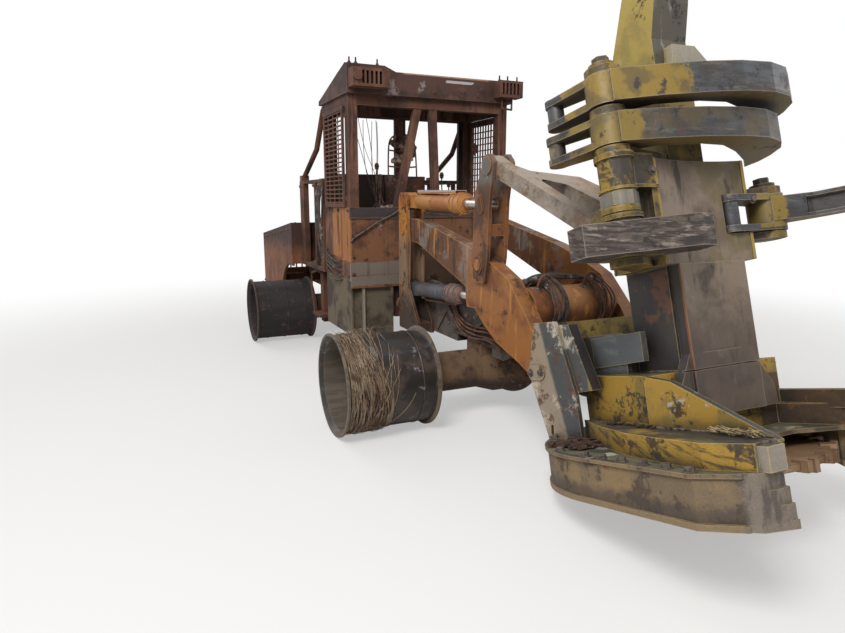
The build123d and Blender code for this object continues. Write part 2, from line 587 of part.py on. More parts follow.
def door_hinges():
    """Hinge pins and brackets on the rear door post."""
    x0 = CAB_REAR_X + POST + 6
    hinge_y = CAB_HALF + 30
    z = (CAB_FLOOR_Z + CAB_WALL + 8, CAB_EAVE_Z - 98)
    pieces = []
    for low in (z[0] + 200, z[1] - 320):
        pieces.append(pin_z((x0, hinge_y), 12, low - 20, low + 110))
        for base in (low - 20, low + 92):
            pieces.append(block((x0 - 70, x0 - 8), (CAB_HALF + SEAT_GAP, hinge_y + 14), (base, base + 18)))
            pieces.append(block((x0 - 20, x0 + 14), (hinge_y - 14, hinge_y + 14), (base, base + 18)))
    return joined(pieces)


def seat_and_console():
    """Burnt seat frame, lever console and the fallen member inside the cab."""
    floor = CAB_FLOOR_Z + CAB_WALL + SEAT_GAP
    x = (CAB_REAR_X + CAB_FRONT_X) / 2
    pieces = [block((x - 200, x + 100), (-180, 180), (floor, floor + 60)),
              block((x - 150, x + 50), (-60, 60), (floor + 60, floor + 360)),
              block((x - 220, x + 160), (-230, 230), (floor + 360, floor + 420)),
              block((x - 260, x - 220), (-220, 220), (floor + 360, floor + 950)),
              block((x - 100, x + 240), (-420, -270), (floor, floor + 620)),
              block((x - 100, x + 240), (270, 420), (floor, floor + 620))]
    return joined(pieces)


def limb_risers():
    """Bars from the cab roof's rear corners down to the bulkhead posts."""
    y = CAB_HALF - 20
    path = [(CAB_REAR_X - 40, y, CAB_EAVE_Z - 40), (CAB_REAR_X - 330, y, CAB_EAVE_Z - 400),
            (BULKHEAD_X + 60, y, HOOD_Z + 45)]
    body = bar(path[0], path[1], 28) + bar(path[1], path[2], 28) + Pos(*path[1]) * Sphere(28)
    body += block((CAB_REAR_X - 60, CAB_REAR_X - SEAT_GAP), (y - 30, y + 15),
                  (CAB_EAVE_Z - 90, CAB_EAVE_Z - 10))
    body += block((BULKHEAD_X, BULKHEAD_X + 110), (y - 40, y + 40), (HOOD_Z + SEAT_GAP, HOOD_Z + 60))
    return both_sides(body)


def hood():
    """Engine hood roof on posts, its side doors gone."""
    x = (BULKHEAD_X - 20, CAB_REAR_X - 20)
    z = (BEAM_Z[1] + 40, HOOD_Z - 20)
    body = block(x, (-HOOD_HALF, HOOD_HALF), (HOOD_Z - 30, HOOD_Z))
    posts = block((BULKHEAD_X - 20, BULKHEAD_X + 150), (HOOD_HALF - 60, HOOD_HALF), z)
    posts += block((x[1] - 330, x[1] - 290), (HOOD_HALF - 40, HOOD_HALF), z)
    posts += block((x[1] - 60, x[1]), (HOOD_HALF - 40, HOOD_HALF), z)
    posts += block(x, (BEAM_HALF - 40, HOOD_HALF), (BEAM_Z[1] + SEAT_GAP, BEAM_Z[1] + 41))
    return body + both_sides(posts)


def rear_enclosure():
    """Low rear enclosure: flat side walls arched over the wheels and a deck that falls to the rear."""
    front = BULKHEAD_X - 20 - SEAT_GAP
    rear = REAR_END_X + DOOR_ROOM
    side = outline([(front, SKIRT_Z), (front, DECK_FRONT_Z), (rear, DECK_REAR_Z), (rear, SKIRT_Z)])
    arch = Pos(-WHEELBASE, AXLE_Z) * Circle(ARCH_R)
    body = both_sides(side_plate(side - arch, ENC_HALF - 30, ENC_HALF))
    top = outline([(front, DECK_FRONT_Z - 30), (front, DECK_FRONT_Z),
                   (rear, DECK_REAR_Z), (rear, DECK_REAR_Z - 30)])
    body += side_plate(top, -ENC_HALF + 30, ENC_HALF - 30)
    body += block((front - 30, front), (-ENC_HALF + 30, ENC_HALF - 30),
                  (BEAM_Z[1] + SEAT_GAP, DECK_FRONT_Z - 20))
    for low in (REAR_END_X + 260, -WHEELBASE - ARCH_R - 190):
        body += both_sides(block((low, low + 60), (BEAM_HALF + SEAT_GAP, ENC_HALF - 25), (600, 700)))
    return body


def engine():
    """In-line engine as one mass: sump, crankcase, head, rocker cover, manifold and flywheel housing."""
    x = (ENGINE_REAR_X, BULKHEAD_X - 110)
    z = BEAM_Z[0] + 20 + SEAT_GAP
    body = block((x[0] + 60, x[1] - 160), (-160, 160), (z, z + 200))
    body += block((x[0], x[1] - 60), (-250, 250), (z + 180, z + 430))
    body += block((x[0] + 40, x[1] - 100), (-150, 150), (z + 429, z + 560))
    body += block((x[0] + 60, x[1] - 120), (-90, 90), (z + 559, z + 620))
    body += block((x[1] - 61, x[1]), (-310, 310), (z + 60, z + 520))
    body += pin_x((x[0] + 200, -220, z + 500), 42, x[1] - x[0] - 460)
    body += pin_x((x[0] - 15, 0, z + 250), 100, 40)
    return body


def rear_door_knuckles():
    """Heights of the rear door's two hinge knuckles."""
    z = (SKIRT_Z + 60, DECK_REAR_Z - 40)
    return (z[0] + 90, z[1] - 180)


def rear_door():
    """Rear grille door with upright bars, hung at its left edge."""
    x = (REAR_END_X, REAR_END_X + 24)
    y = (-ENC_HALF + 60, ENC_HALF - 60)
    z = (SKIRT_Z + 60, DECK_REAR_Z - 40)
    body = block(x, y, z) - block((x[0] - 1, x[1] + 1), (y[0] + 70, y[1] - 70), (z[0] + 70, z[1] - 70))
    for k in range(1, 20):
        at = y[0] + 70 + (y[1] - y[0] - 140) * k / 20
        body += block((x[0] + 4, x[1] - 4), (at - 9, at + 9), (z[0] + 60, z[1] - 60))
    for low in rear_door_knuckles():
        body += block(x, (y[1] - 5, REAR_HINGE[1] + 14), (low, low + 90))
        body -= pin_z(REAR_HINGE, 8 + RUN_CLEAR, low - 1, low + 91)
    return body


def rear_door_hinges():
    """Hinge pins and brackets of the rear door, on the enclosure's edge."""
    pieces = []
    for low in rear_door_knuckles():
        pieces.append(pin_z(REAR_HINGE, 8, low - 20, low + 110))
        for base in (low - 20, low + 92):
            y = (REAR_HINGE[1] - 14, ENC_HALF - 4)
            pieces.append(block((REAR_END_X, REAR_END_X + DOOR_ROOM - SEAT_GAP), y, (base, base + 18)))
    return joined(pieces)


def steps():
    """Access post, step bracket and bent grab loop beside the tanks."""
    x = (CAB_REAR_X - 340, CAB_REAR_X - 230)
    y0 = CAB_HALF - 20 - SEAT_GAP
    body = block(x, (y0 - 60, y0), (330, BEAM_Z[1]))
    body += block((x[0] - 60, x[1] + 120), (y0 - 60, y0 + 80), (400, 430))
    body += block(x, (BEAM_HALF + SEAT_GAP, y0 - 50), (700, 780))
    path = [(x[1] - 20, y0 - 20, 860), (x[1] - 20, y0 + 70, 890), (x[0] - 90, y0 + 70, 850),
            (x[0] - 110, y0 + 70, 700), (x[0] - 40, y0 + 60, 415)]
    rails = [bar(a, b, 11) for a, b in zip(path, path[1:])] + [Pos(*at) * Sphere(11) for at in path[1:4]]
    return both_sides(body + joined(rails))


# Felling head, drawn upright
# Plan outlines of the arms round their pin, for the left column: the tip points to -Y when closed
CLAW = ((100, 30), (165, -200), (210, -420), (235, -620), (232, -800), (190, -940), (115, -1040),
        (0, -1110), (-100, -1145), (-195, -1150), (-100, -1030), (30, -800), (105, -620), (110, -450),
        (60, -220), (-85, -50))
SHORT_CLAW = ((100, 30), (165, -200), (210, -420), (230, -600), (215, -740), (150, -780), (105, -620),
              (110, -450), (60, -220), (-85, -50))
BEAM_ARM = ((95, 320), (115, 280), (295, -170), (275, -275), (150, -300), (40, -120), (-100, -40), (-105, 60),
            (-30, 305))


# Arms: node, column side (-1 right), plan, heel length, low and high edge of the hub,
# low and high edge of the claw, opened at rest (degrees)
ARMS = (("arm_lower_right", -1, BEAM_ARM, 0.0, 1120.0, 1265.0, 1120.0, 1265.0, 0.0),
        ("arm_lower_left", 1, SHORT_CLAW, HEEL_REACH, 1225.0, 1420.0, 1273.0, 1398.0, 115.0),
        ("arm_middle_right", -1, CLAW, HEEL_REACH, 1655.0, 1800.0, 1655.0, 1800.0, 0.0),
        ("arm_upper_right", -1, CLAW, HEEL_REACH, 1850.0, 2000.0, 1850.0, 2000.0, 6.0))
# Steps cut in the front edge of each wing tip: height, depth
TIP_STEPS = ((34.0, 8.0), (92.0, 20.0), (150.0, 36.0))
# Bolted flange and skid lip round the housing: from and to in height, how far each stands out
RIM_LIPS = ((HOUSING_H - 18, HOUSING_H, 14.0), (0.0, 26.0, 10.0))
LIP_END_X = 1640.0


def housing_plan(inset):
    """Plan of the saw housing: round at the rear, straight sides that bend in to the wing tips."""
    half = HOUSING_HALF - inset
    front = WING_TIP_X - inset / 2
    nose = outline([(SAW_X, -half), (WING_BEND_X, -half + 5), (front - 45, -WING_TIP_HALF + inset),
                    (front, -WING_TIP_INNER), (front, WING_TIP_INNER),
                    (front - 45, WING_TIP_HALF - inset), (WING_BEND_X, half - 5), (SAW_X, half)])
    return Pos(SAW_X, 0) * Circle(half) + nose


def mouth():
    """Plan of the open front between the wings, where the saw meets the trunk."""
    return outline([(1200, -260), (1200, 260), (1330, 430), (1520, 490),
                    (WING_TIP_X + 60, WING_TIP_INNER - 8), (WING_TIP_X + 60, -WING_TIP_INNER + 8),
                    (1520, -490), (1330, -430)])


def saw_housing():
    """Rim, wings, deck and spindle around the saw disc, with stepped teeth at the wing tips."""
    pocket = Pos(SAW_X, 0) * Circle(POCKET_R) + Pos(SAW_X + 500, 0) * Rectangle(1000, 2 * WING_TIP_INNER - 20)
    rim = deck_plate(housing_plan(0) - pocket, 0, HOUSING_H)
    deck = deck_plate(housing_plan(8) - mouth(), HOUSING_H - 22, HOUSING_H)
    rear = Pos(SAW_X - HOUSING_HALF, 0) * Rectangle(2 * HOUSING_HALF, 2 * HOUSING_HALF)
    floor = deck_plate(Pos(SAW_X, 0) * (Circle(HOUSING_HALF - 5) - Circle(520)) & rear, 0, 22)
    body = rim + deck + floor + pin_z((SAW_X, 0), 60, SAW_Z - 20, HOUSING_H - 10)
    for low, high, out in RIM_LIPS:
        lip = deck_plate(housing_plan(-out) - housing_plan(30), low, high)
        body += lip - block((LIP_END_X, WING_TIP_X + 100), (-HOUSING_HALF, HOUSING_HALF), (low - 1, high + 1))
    for low, reach in TIP_STEPS:
        step = block((WING_TIP_X - reach, WING_TIP_X + 5), (WING_TIP_INNER - 40, WING_TIP_HALF),
                     (low, low + 58))
        body -= both_sides(step)
    return body


def saw_disc():
    """Toothed saw disc with tooth holders round its edge, on its spindle."""
    top = SAW_Z + SAW_T
    body = pin_z((SAW_X, 0), SAW_R, SAW_Z, top) + pin_z((SAW_X, 0), 130, top, top + 20)
    holder = block((SAW_R - 40, TOOTH_TIP - 8), (-26, 26), (SAW_Z - 10, top + 10))
    holder += block((TOOTH_TIP - 30, TOOTH_TIP), (14, 44), (SAW_Z - 14, top + 14))
    for k in range(TOOTH_COUNT):
        body += Pos(SAW_X, 0, 0) * Rot(0, 0, k * 360 / TOOTH_COUNT) * holder
    return body - pin_z((SAW_X, 0), 60 + RUN_CLEAR, SAW_Z - 5, top + 90)


def head_base():
    """Second deck along both wings, pedestal, gusset on the right, straight skirt on the left, end caps."""
    z0 = HOUSING_H + SEAT_GAP
    end = WING_TIP_X - 50
    tier = outline([(420, 380), (660, 500), (1000, 620), (1250, 660), (WING_BEND_X, 680),
                    (end, WING_TIP_HALF - 15), (end, WING_TIP_INNER), (1250, 425), (1000, 390)])
    body = both_sides(deck_plate(tier, z0, DECK2_Z))
    pedestal = outline([(400, -330), (870, -PEDESTAL_HALF), (PLATE_X - 45, -PEDESTAL_HALF - 40),
                        (PLATE_X - 45, PEDESTAL_HALF + 40), (870, PEDESTAL_HALF), (400, 330)])
    body += deck_plate(pedestal, z0, PEDESTAL_Z)
    gusset = outline([(PLATE_X - 60, DECK2_Z - 20), (PLATE_X - 60, PEDESTAL_Z),
                      (PLATE_X + 100, PEDESTAL_Z - 25), (end - 10, DECK2_Z - 10), (end - 10, DECK2_Z - 20)])
    body += side_plate(gusset, -PEDESTAL_HALF - 65, -PEDESTAL_HALF - 30)
    skirt = outline([(PLATE_X - 60, DECK2_Z - 20), (PLATE_X - 60, DECK2_Z + 70), (end - 60, DECK2_Z + 70),
                     (end - 10, DECK2_Z + 20), (end - 10, DECK2_Z - 20)])
    body += side_plate(skirt, PEDESTAL_HALF + 30, PEDESTAL_HALF + 65)
    cap = block((end + SEAT_GAP, end + 45), (WING_TIP_INNER + 5, WING_TIP_HALF - 25), (z0, DECK2_Z - 10))
    return body + both_sides(cap)


def arm_pocket(side, low, high):
    """Room in the spine for the heel of an arm as it opens."""
    reach = HEEL_REACH + HEEL_EYE_R + 8
    return pin_z((COLUMN_X, side * COLUMN_Y), reach, low - EAR_GAP, high + EAR_GAP)


def clear_of_heels(body):
    """The piece with room cut for every arm that has a heel."""
    for node, side, plan, heel, low, high, *claw in ARMS:
        if heel:
            body -= arm_pocket(side, low, high)
    return body


def head_spine():
    """Upright box behind the trunk plates, with cheeks, rear side plates, mounting ears and link lugs."""
    z0 = PEDESTAL_Z + SEAT_GAP
    front = PLATE_X - 40
    body = block((SPINE_REAR_X, front), (-SPINE_HALF, SPINE_HALF), (z0, PLATE_SEAM_Z + 1))
    body += block((SPINE_REAR_X, front), (-CHEEK_HALF, CHEEK_HALF), (PLATE_SEAM_Z, PLATE_TOP_Z))
    body += block((SPINE_REAR_X, front), (-CORE_HALF, CORE_HALF), (PLATE_TOP_Z - 1, FRAME_TOP_Z))
    body += both_sides(block((front - 60, PLATE_X + 35), (CHEEK_HALF - 20, CHEEK_HALF),
                             (PLATE_SEAM_Z, PLATE_TOP_Z)))
    px, pz = HEAD_PIN
    inner = ARM_Y - ARM_W / 2 - ARM_GAP
    rear = outline([(px - 60, pz - 60), (px - 60, pz + 70), (230, 880), (330, 780), (SPINE_REAR_X + 10, 780),
                    (SPINE_REAR_X + 10, z0), (px + 90, z0)], 20)
    body += both_sides(side_plate(rear, inner - PLATE, inner))
    body += block((SPINE_REAR_X - 25, SPINE_REAR_X + 5), (-inner + 1, inner - 1), (z0, 780))
    outer = ARM_Y + ARM_W / 2 + ARM_GAP
    ear = outline([(px - 50, pz - 70), (px - 45, pz + 60), (160, 900), (360, 890), (472, 480),
                   (480, HOUSING_H + SEAT_GAP), (170, HOUSING_H + SEAT_GAP)], 12)
    ear -= Pos(215, 262) * Rot(0, 0, 80) * SlotOverall(64, 26)
    body += both_sides(side_plate(ear, outer, outer + PLATE))
    body += both_sides(slot_y((px + 22, pz), (170, 92), 0, outer + PLATE - 1, outer + PLATE + 10))
    bar_face = outline([(318, 868), (455, 862), (592, 490), (474, 480), (318, 740)])
    body += both_sides(side_plate(bar_face, inner + 45, outer + 1))
    worn = outline([(SPINE_REAR_X - 240, 600), (SPINE_REAR_X - 240, 765), (SPINE_REAR_X + 140, 775),
                    (SPINE_REAR_X + 140, 625)])
    body += both_sides(side_plate(worn, inner - PLATE - 1, inner + 8))
    body += both_sides(block((SPINE_REAR_X + 40, SPINE_REAR_X + 80), (SPINE_HALF - 1, inner - PLATE + 1),
                             (640, 740)))
    body += block((290, 330), (-outer - 1, outer + 1), (z0, 880))
    for at_y in (ARM_Y, -ARM_Y):
        half = ARM_W / 2 + ARM_GAP + PLATE
        body += pin_y(HEAD_PIN, PIN_R, at_y - half - 8, at_y + half + 12)
    lx, lz = LINK_PIN
    lug_root = SPINE_REAR_X - 20
    reach = max(abs(y) for y in LINK_FOOT_Y) + LINK_FOOT_W / 2 + 4
    body += block((lug_root - 5, SPINE_REAR_X + 1), (-reach, reach), (lz - 150, lz + 150))
    for foot in LINK_FOOT_Y:
        for side in (-1, 1):
            y = sorted((foot + side * (LINK_FOOT_W / 2 + 4), foot + side * (LINK_FOOT_W / 2 + 24)))
            lug = outline([(lug_root, lz - 130), (lx - 40, lz - 62), (lx - 62, lz + 30), (lx - 20, lz + 62),
                           (lug_root, lz + 130)], 12)
            body += side_plate(lug, *y)
        body += pin_y(LINK_PIN, PIN_R, foot - LINK_FOOT_W / 2 - 24, foot + LINK_FOOT_W / 2 + 24)
    return clear_of_heels(body)


def column_ear(side, at):
    """One ear at a given height, from the spine out round the column."""
    wall = CHEEK_HALF if at < PLATE_TOP_Z - EAR else CORE_HALF
    root = side * (wall + SEAT_GAP)
    ear = outline([(COLUMN_X - 190, root), (COLUMN_X - 30, root), (COLUMN_X + 40, side * (COLUMN_Y - 90)),
                   (COLUMN_X + 70, side * COLUMN_Y), (COLUMN_X - 75, side * COLUMN_Y)])
    return deck_plate(ear, at, at + EAR) + pin_z((COLUMN_X, side * COLUMN_Y), ARM_HUB_R - 8, at, at + EAR)


def pivot_brackets():
    """Ears, pins and column tubes that carry the arms beside the spine."""
    pieces = []
    for side in (-1, 1):
        spans = sorted((row[4], row[5]) for row in ARMS if row[1] == side)
        edges = [spans[0][0] - EAR_GAP - EAR] + [high + EAR_GAP for low, high in spans]
        for (low, high), (next_low, next_high) in zip(spans, spans[1:]):
            if next_low - high > 3 * (EAR + EAR_GAP):
                edges.append(next_low - EAR_GAP - EAR)
                tube = (high + EAR_GAP, next_low - EAR_GAP)
                pieces.append(pin_z((COLUMN_X, side * COLUMN_Y), ARM_HUB_R - 10, *tube))
        pieces += [column_ear(side, at) for at in edges]
        top = max(edges) + EAR
        pieces.append(pin_z((COLUMN_X, side * COLUMN_Y), ARM_PIN_R, min(edges), top + 16))
        pieces.append(pin_z((COLUMN_X, side * COLUMN_Y), ARM_PIN_R + 22, top - 1, top + 24))
        pieces.append(hexagon_z((COLUMN_X, side * COLUMN_Y), ARM_PIN_R + 2, top + 23, top + 58))
    return joined(pieces + column_fittings())


def column_fittings():
    """Bearing box, nut and rings on the tall right column, between its arms."""
    at = (COLUMN_X, -COLUMN_Y)
    root = -CHEEK_HALF - SEAT_GAP
    fittings = [pin_z(at, radius, *z) for radius, *z in COLUMN_RINGS]
    fittings.append(hexagon_z(at, ARM_HUB_R, *COLUMN_NUT))
    box_x = (COLUMN_X - 40, COLUMN_X + 58)
    fittings.append(block(box_x, (-COLUMN_Y + 60, root), (BEARING_Z[0], BEARING_Z[1])))
    shelf_z, post_z = BEARING_Z[0] - 14, COLUMN_RINGS[0][1]
    fittings.append(block((COLUMN_X - 90, COLUMN_X + 75), (-COLUMN_Y, root), (shelf_z, BEARING_Z[0] + 1)))
    fittings.append(block((COLUMN_X + 20, COLUMN_X + 58), (root - 34, root), (post_z, BEARING_Z[0])))
    return fittings


def trunk_plate(z_from, z_to, half):
    """Concave plate that the trunk rests against."""
    back = PLATE_X - 40 + SEAT_GAP
    front = PLATE_X + 30
    edges = [Line((back, half), (back, -half)), Line((back, -half), (front, -half)),
             ThreePointArc((front, -half), (PLATE_X, 0), (front, half)), Line((front, half), (back, half))]
    return deck_plate(make_face(edges), z_from, z_to)


def lower_trunk_plate():
    """Lower plate: spread at its foot, with a welded seam low down."""
    foot_z = DECK2_Z + 10
    foot = outline([(-PLATE_HALF[0], PLATE_WELD_Z + 80), (-300, 500), (-300, foot_z), (340, foot_z),
                    (330, 430), (PLATE_HALF[0] + 15, PLATE_WELD_Z), (PLATE_HALF[0], PLATE_WELD_Z + 80)])
    body = trunk_plate(foot_z, PLATE_SEAM_Z, PLATE_HALF[0])
    body += cross_plate(foot, PLATE_X - 40 + SEAT_GAP, PLATE_X + 12)
    return body - block((PLATE_X - 6, PLATE_X + 60), (-400, 400), (PLATE_WELD_Z - 3, PLATE_WELD_Z + 3))


def upper_trunk_plate():
    """Upper plate between the cheeks, notched where the left arm's heel swings through."""
    body = trunk_plate(PLATE_SEAM_Z + SEAT_GAP, PLATE_TOP_Z, PLATE_HALF[1])
    return clear_of_heels(body)


def horn():
    """Tall horn on top of the spine, leaning forward and tapering, with a foot on its front."""
    side = outline([(690, FRAME_TOP_Z + SEAT_GAP), (680, 2140), (880, 2576), (1000, HORN_TOP_Z),
                    (1150, HORN_TOP_Z), (1165, 2860), (1080, 2440), (1030, 2260),
                    (1030, FRAME_TOP_Z + SEAT_GAP)])
    foot = outline([(-60, 2060), (-40, 2210), (120, 2215), (200, 2140), (200, 2060)])
    return side_plate(side, -CORE_HALF, CORE_HALF) + cross_plate(foot, 1000, 1080)


def grab_arm(side, plan, heel, low, high, claw_low, claw_high, opened):
    """Arm with a hub on its pin, a forked heel with its eye behind and a claw round the trunk."""
    body = deck_plate(outline(plan), claw_low, claw_high) + pin_z((0, 0), ARM_HUB_R, low, high)
    if plan is SHORT_CLAW:
        web = offset(outline(plan), -28)
        hollow = deck_plate(outline(plan) - web, claw_low + 20, claw_high - 20)
        body -= hollow & block((-400, 400), (-900, -190), (claw_low, claw_high))
    if heel:
        along = Vector(math.cos(math.radians(HEEL_ANGLE)), math.sin(math.radians(HEEL_ANGLE)))
        across = Vector(-along.Y, along.X)
        corners = [across * 80, along * heel + across * 46, along * heel - across * 46, across * -80]
        fork = outline([(p.X, p.Y) for p in corners])
        fork += Pos(along.X * heel, along.Y * heel) * Circle(HEEL_EYE_R)
        body += deck_plate(fork, low, low + FORK_PLATE) + deck_plate(fork, high - FORK_PLATE, high)
        body += pin_z((along.X * heel, along.Y * heel), HEEL_EYE_R - 8, low, high)
    body -= pin_z((0, 0), ARM_PIN_R + RUN_CLEAR, low - 5, high + 5)
    placed = Pos(COLUMN_X, COLUMN_Y, 0) * Rot(0, 0, opened) * body
    return placed if side > 0 else mirror(placed, about=Plane.XZ)


def write(node, shape):
    """Moves a piece to the machine's own origin and writes it."""
    export_step(Pos(-ORIGIN_X, 0, 0) * shape, "parts/" + node + ".step")


def main():
    os.makedirs("parts", exist_ok=True)
    write("rear_frame", rear_frame())
    write("side_tanks", side_tanks())
    write("rear_axle", axle(-WHEELBASE, -1, BOWL_R[1], BEAM_Z[0]))
    write("cab_base", cab_base())
    write("cab_frame", cab_frame())
    write("cab_roof", cab_roof())
    write("roof_lamp_boxes", lamp_boxes())
    write("right_window_guard", window_guard())
    write("cab_door", cab_door())
    write("cab_door_hinges", door_hinges())
    write("seat_and_console", seat_and_console())
    write("limb_risers", limb_risers())
    write("engine_hood", hood())
    write("rear_enclosure", rear_enclosure())
    write("engine", engine())
    write("rear_grille_door", rear_door())
    write("rear_door_hinges", rear_door_hinges())
    write("access_steps", steps())
    write("front_frame", front_frame())
    write("boom_towers", boom_tower())
    write("front_axle", axle(0, 1, BOWL_R[0], SADDLE_Z))
    for name, side, x in (("wheel_front_right", -1, 0), ("wheel_front_left", 1, 0),
                          ("wheel_rear_right", -1, -WHEELBASE), ("wheel_rear_left", 1, -WHEELBASE)):
        write(name, wheel(side, x))
    write("lift_arms", lift_arms())
    write("lift_barrels", both_sides(barrel(LIFT_BASE, LIFT_EYE, ARM_Y, LIFT_CYL)))
    write("lift_rods", both_sides(rod(LIFT_BASE, LIFT_EYE, ARM_Y, LIFT_CYL)))
    write("tilt_barrel", tilt_barrel())
    write("tilt_rod", rod(TILT_BASE, TILT_EYE, -ARM_Y, TILT_CYL))
    write("tilt_lever", lever())
    write("tilt_link", tilt_link())
    write("saw_housing", in_head(saw_housing()))
    write("head_base", in_head(head_base()))
    write("head_spine", in_head(head_spine()))
    write("pivot_brackets", in_head(pivot_brackets()))
    write("trunk_plate_lower", in_head(lower_trunk_plate()))
    write("trunk_plate_upper", in_head(upper_trunk_plate()))
    write("horn", in_head(horn()))
    write("saw_disc", in_head(saw_disc()))
    for node, *shape in ARMS:
        write(node, in_head(grab_arm(*shape)))


if __name__ == "__main__":
    main()
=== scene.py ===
"""Looks of a burnt-out wheeled feller buncher: scorched paint, bare rims, worn head and burnt lines.

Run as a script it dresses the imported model; the sidebar panel lists the same steps.
"""

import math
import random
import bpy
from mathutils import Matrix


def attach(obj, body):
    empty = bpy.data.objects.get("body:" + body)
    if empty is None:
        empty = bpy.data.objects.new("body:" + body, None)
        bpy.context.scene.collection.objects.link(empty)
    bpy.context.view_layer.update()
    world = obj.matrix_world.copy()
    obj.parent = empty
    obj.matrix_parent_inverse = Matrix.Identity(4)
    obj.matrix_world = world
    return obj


bl_info = {
    "name": "Burnt feller buncher",
    "version": (1, 1, 0),
    "blender": (4, 5, 0),
    "location": "3D View > Sidebar > Feller buncher",
    "description": "Scorched finishes and small pieces for a burnt-out wheeled feller buncher",
    "category": "Object",
}

import bmesh
import bpy
from bpy.props import FloatProperty, FloatVectorProperty, IntProperty, PointerProperty
from mathutils import Matrix, Vector

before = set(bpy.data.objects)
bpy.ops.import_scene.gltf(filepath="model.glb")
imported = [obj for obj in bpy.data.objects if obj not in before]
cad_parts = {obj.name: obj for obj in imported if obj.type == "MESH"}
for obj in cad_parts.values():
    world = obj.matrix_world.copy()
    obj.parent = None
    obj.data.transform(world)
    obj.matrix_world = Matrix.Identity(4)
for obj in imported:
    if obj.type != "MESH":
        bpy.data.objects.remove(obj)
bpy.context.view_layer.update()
MM = 0.001
# The part's X is measured from the middle of its length; drawings here use the front axle.
AXLE_X = 1.1033149
# Felling head: its lean, and the tops of its deck and of the tier on it, in mm
HEAD_TILT = math.radians(16.0)
DECK_Z, TIER_Z = 218, 322
# Engine's foot, and the hood's front edge, top and fall over its length, in mm
SUMP_Z = 540.3
HOOD_X, HOOD_Z, HOOD_FALL = -3170.3, 1380, 200
# Camera fitted to the photograph: focal length and width in pixels, place in m, heading and pitch
FOCAL_PX, WIDTH_PX = 618.228, 845
CAMERA_AT = (4.048, -2.592, 1.645)
HEADING, PITCH = math.radians(24.645), math.radians(10.727)
HEAD_PLACE = Matrix.Translation((1.1 + AXLE_X, 0.0, 0.002)) @ Matrix.Rotation(-HEAD_TILT, 4, "Y")
HEAD_UP = HEAD_PLACE.to_3x3() @ Vector((0, 0, 1))
HEAD_AHEAD = HEAD_PLACE.to_3x3() @ Vector((1, 0, 0))


def machine(x, y, z):
    """Point given in millimetres from the front axle's foot, as a point of the part."""
    return Vector((x * MM + AXLE_X, y * MM, z * MM))


def head(x, y, z):
    """Point given in millimetres in the felling head's own upright frame, as a point of the part."""
    return HEAD_PLACE @ Vector((x * MM, y * MM, z * MM))


# Colours and nodes
def linear(hex_colour):
    """sRGB hex such as b5651d as linear RGBA."""
    def channel(value):
        return value / 12.92 if value <= 0.04045 else ((value + 0.055) / 1.055) ** 2.4
    return tuple(channel(int(hex_colour[i:i + 2], 16) / 255) for i in (0, 2, 4)) + (1.0,)


def paint(name, hex_colour, description):
    """A colour setting of the panel."""
    return FloatVectorProperty(name=name, description=description, default=linear(hex_colour)[:3],
                               subtype="COLOR", min=0.0, max=1.0)


class FELLER_PG_colours(bpy.types.PropertyGroup):
    """Colours that a user would change"""
    machine_orange: paint("Machine orange", "b37834", "Orange paint left on the boom towers")
    head_yellow: paint("Head yellow", "a27f2b", "Yellow enamel left on the head's base")
    fire_rust: paint("Fire rust", "613c29", "Rust on plate whose paint has burnt off")
    dark_scale: paint("Dark scale", "2f211c", "Dark fire scale over rust")
    bead_straw: paint("Bead wire", "a8957c", "Brass-plated bead wire after a fire")
    bark: paint("Bark", "4a3226", "Bark and litter left on the head")
    floor: paint("Floor", "e9e7e3", "Studio floor")


class FELLER_PG_sizes(bpy.types.PropertyGroup):
    """Sizes that a user would change"""
    hose: FloatProperty(name="Hose braid", description="Diameter of a burnt hose's wire braid",
                        default=0.024, unit="LENGTH")
    wire: FloatProperty(name="Bead wire", description="Diameter of one bead wire, drawn coarser than its 2 mm",
                        default=0.0028, unit="LENGTH")
    wires: IntProperty(name="Bead wires", description="Turns of bead wire left on the right front rim", default=80)
    bolt: FloatProperty(name="Bolt", description="Width across the flats of the flange bolts",
                        default=0.036, unit="LENGTH")
    weld: FloatProperty(name="Weld bead", description="Width of the weld beads on the head", default=0.014,
                        unit="LENGTH")
    chip: FloatProperty(name="Bark chip", description="Length of the larger bark chips", default=0.085,
                        unit="LENGTH")


def tint(value):
    """A colour by its name in the panel, or by its hex value."""
    colours = bpy.context.scene.feller_colours
    return tuple(getattr(colours, value)) + (1.0,) if hasattr(colours, value) else linear(value)


def add_node(tree, kind, settings=None, values=None, links=None):
    """One node with its settings, its sockets' values and links into them, from a socket or a node's first one."""
    made = tree.nodes.new(kind)
    for key, value in (settings or {}).items():
        setattr(made, key, value)
    for key, value in (values or {}).items():
        made.inputs[key].default_value = value
    for key, source in (links or {}).items():
        tree.links.new(source.outputs[0] if isinstance(source, bpy.types.Node) else source, made.inputs[key])
    return made


# How each noise is drawn out along X, Y and Z, its detail and its roughness
GRAINS = {"patches": ((1, 1, 1), 5.0, 0.56), "flakes": ((1, 1, 1), 9.0, 0.74), "runs": ((1, 1, 0.14), 5.0, 0.6),
          "rubs": ((0.16, 1, 1), 6.0, 0.6), "streaks": ((1, 0.12, 1), 6.0, 0.62),
          "scratches": ((0.14, 0.14, 1), 8.0, 0.7)}


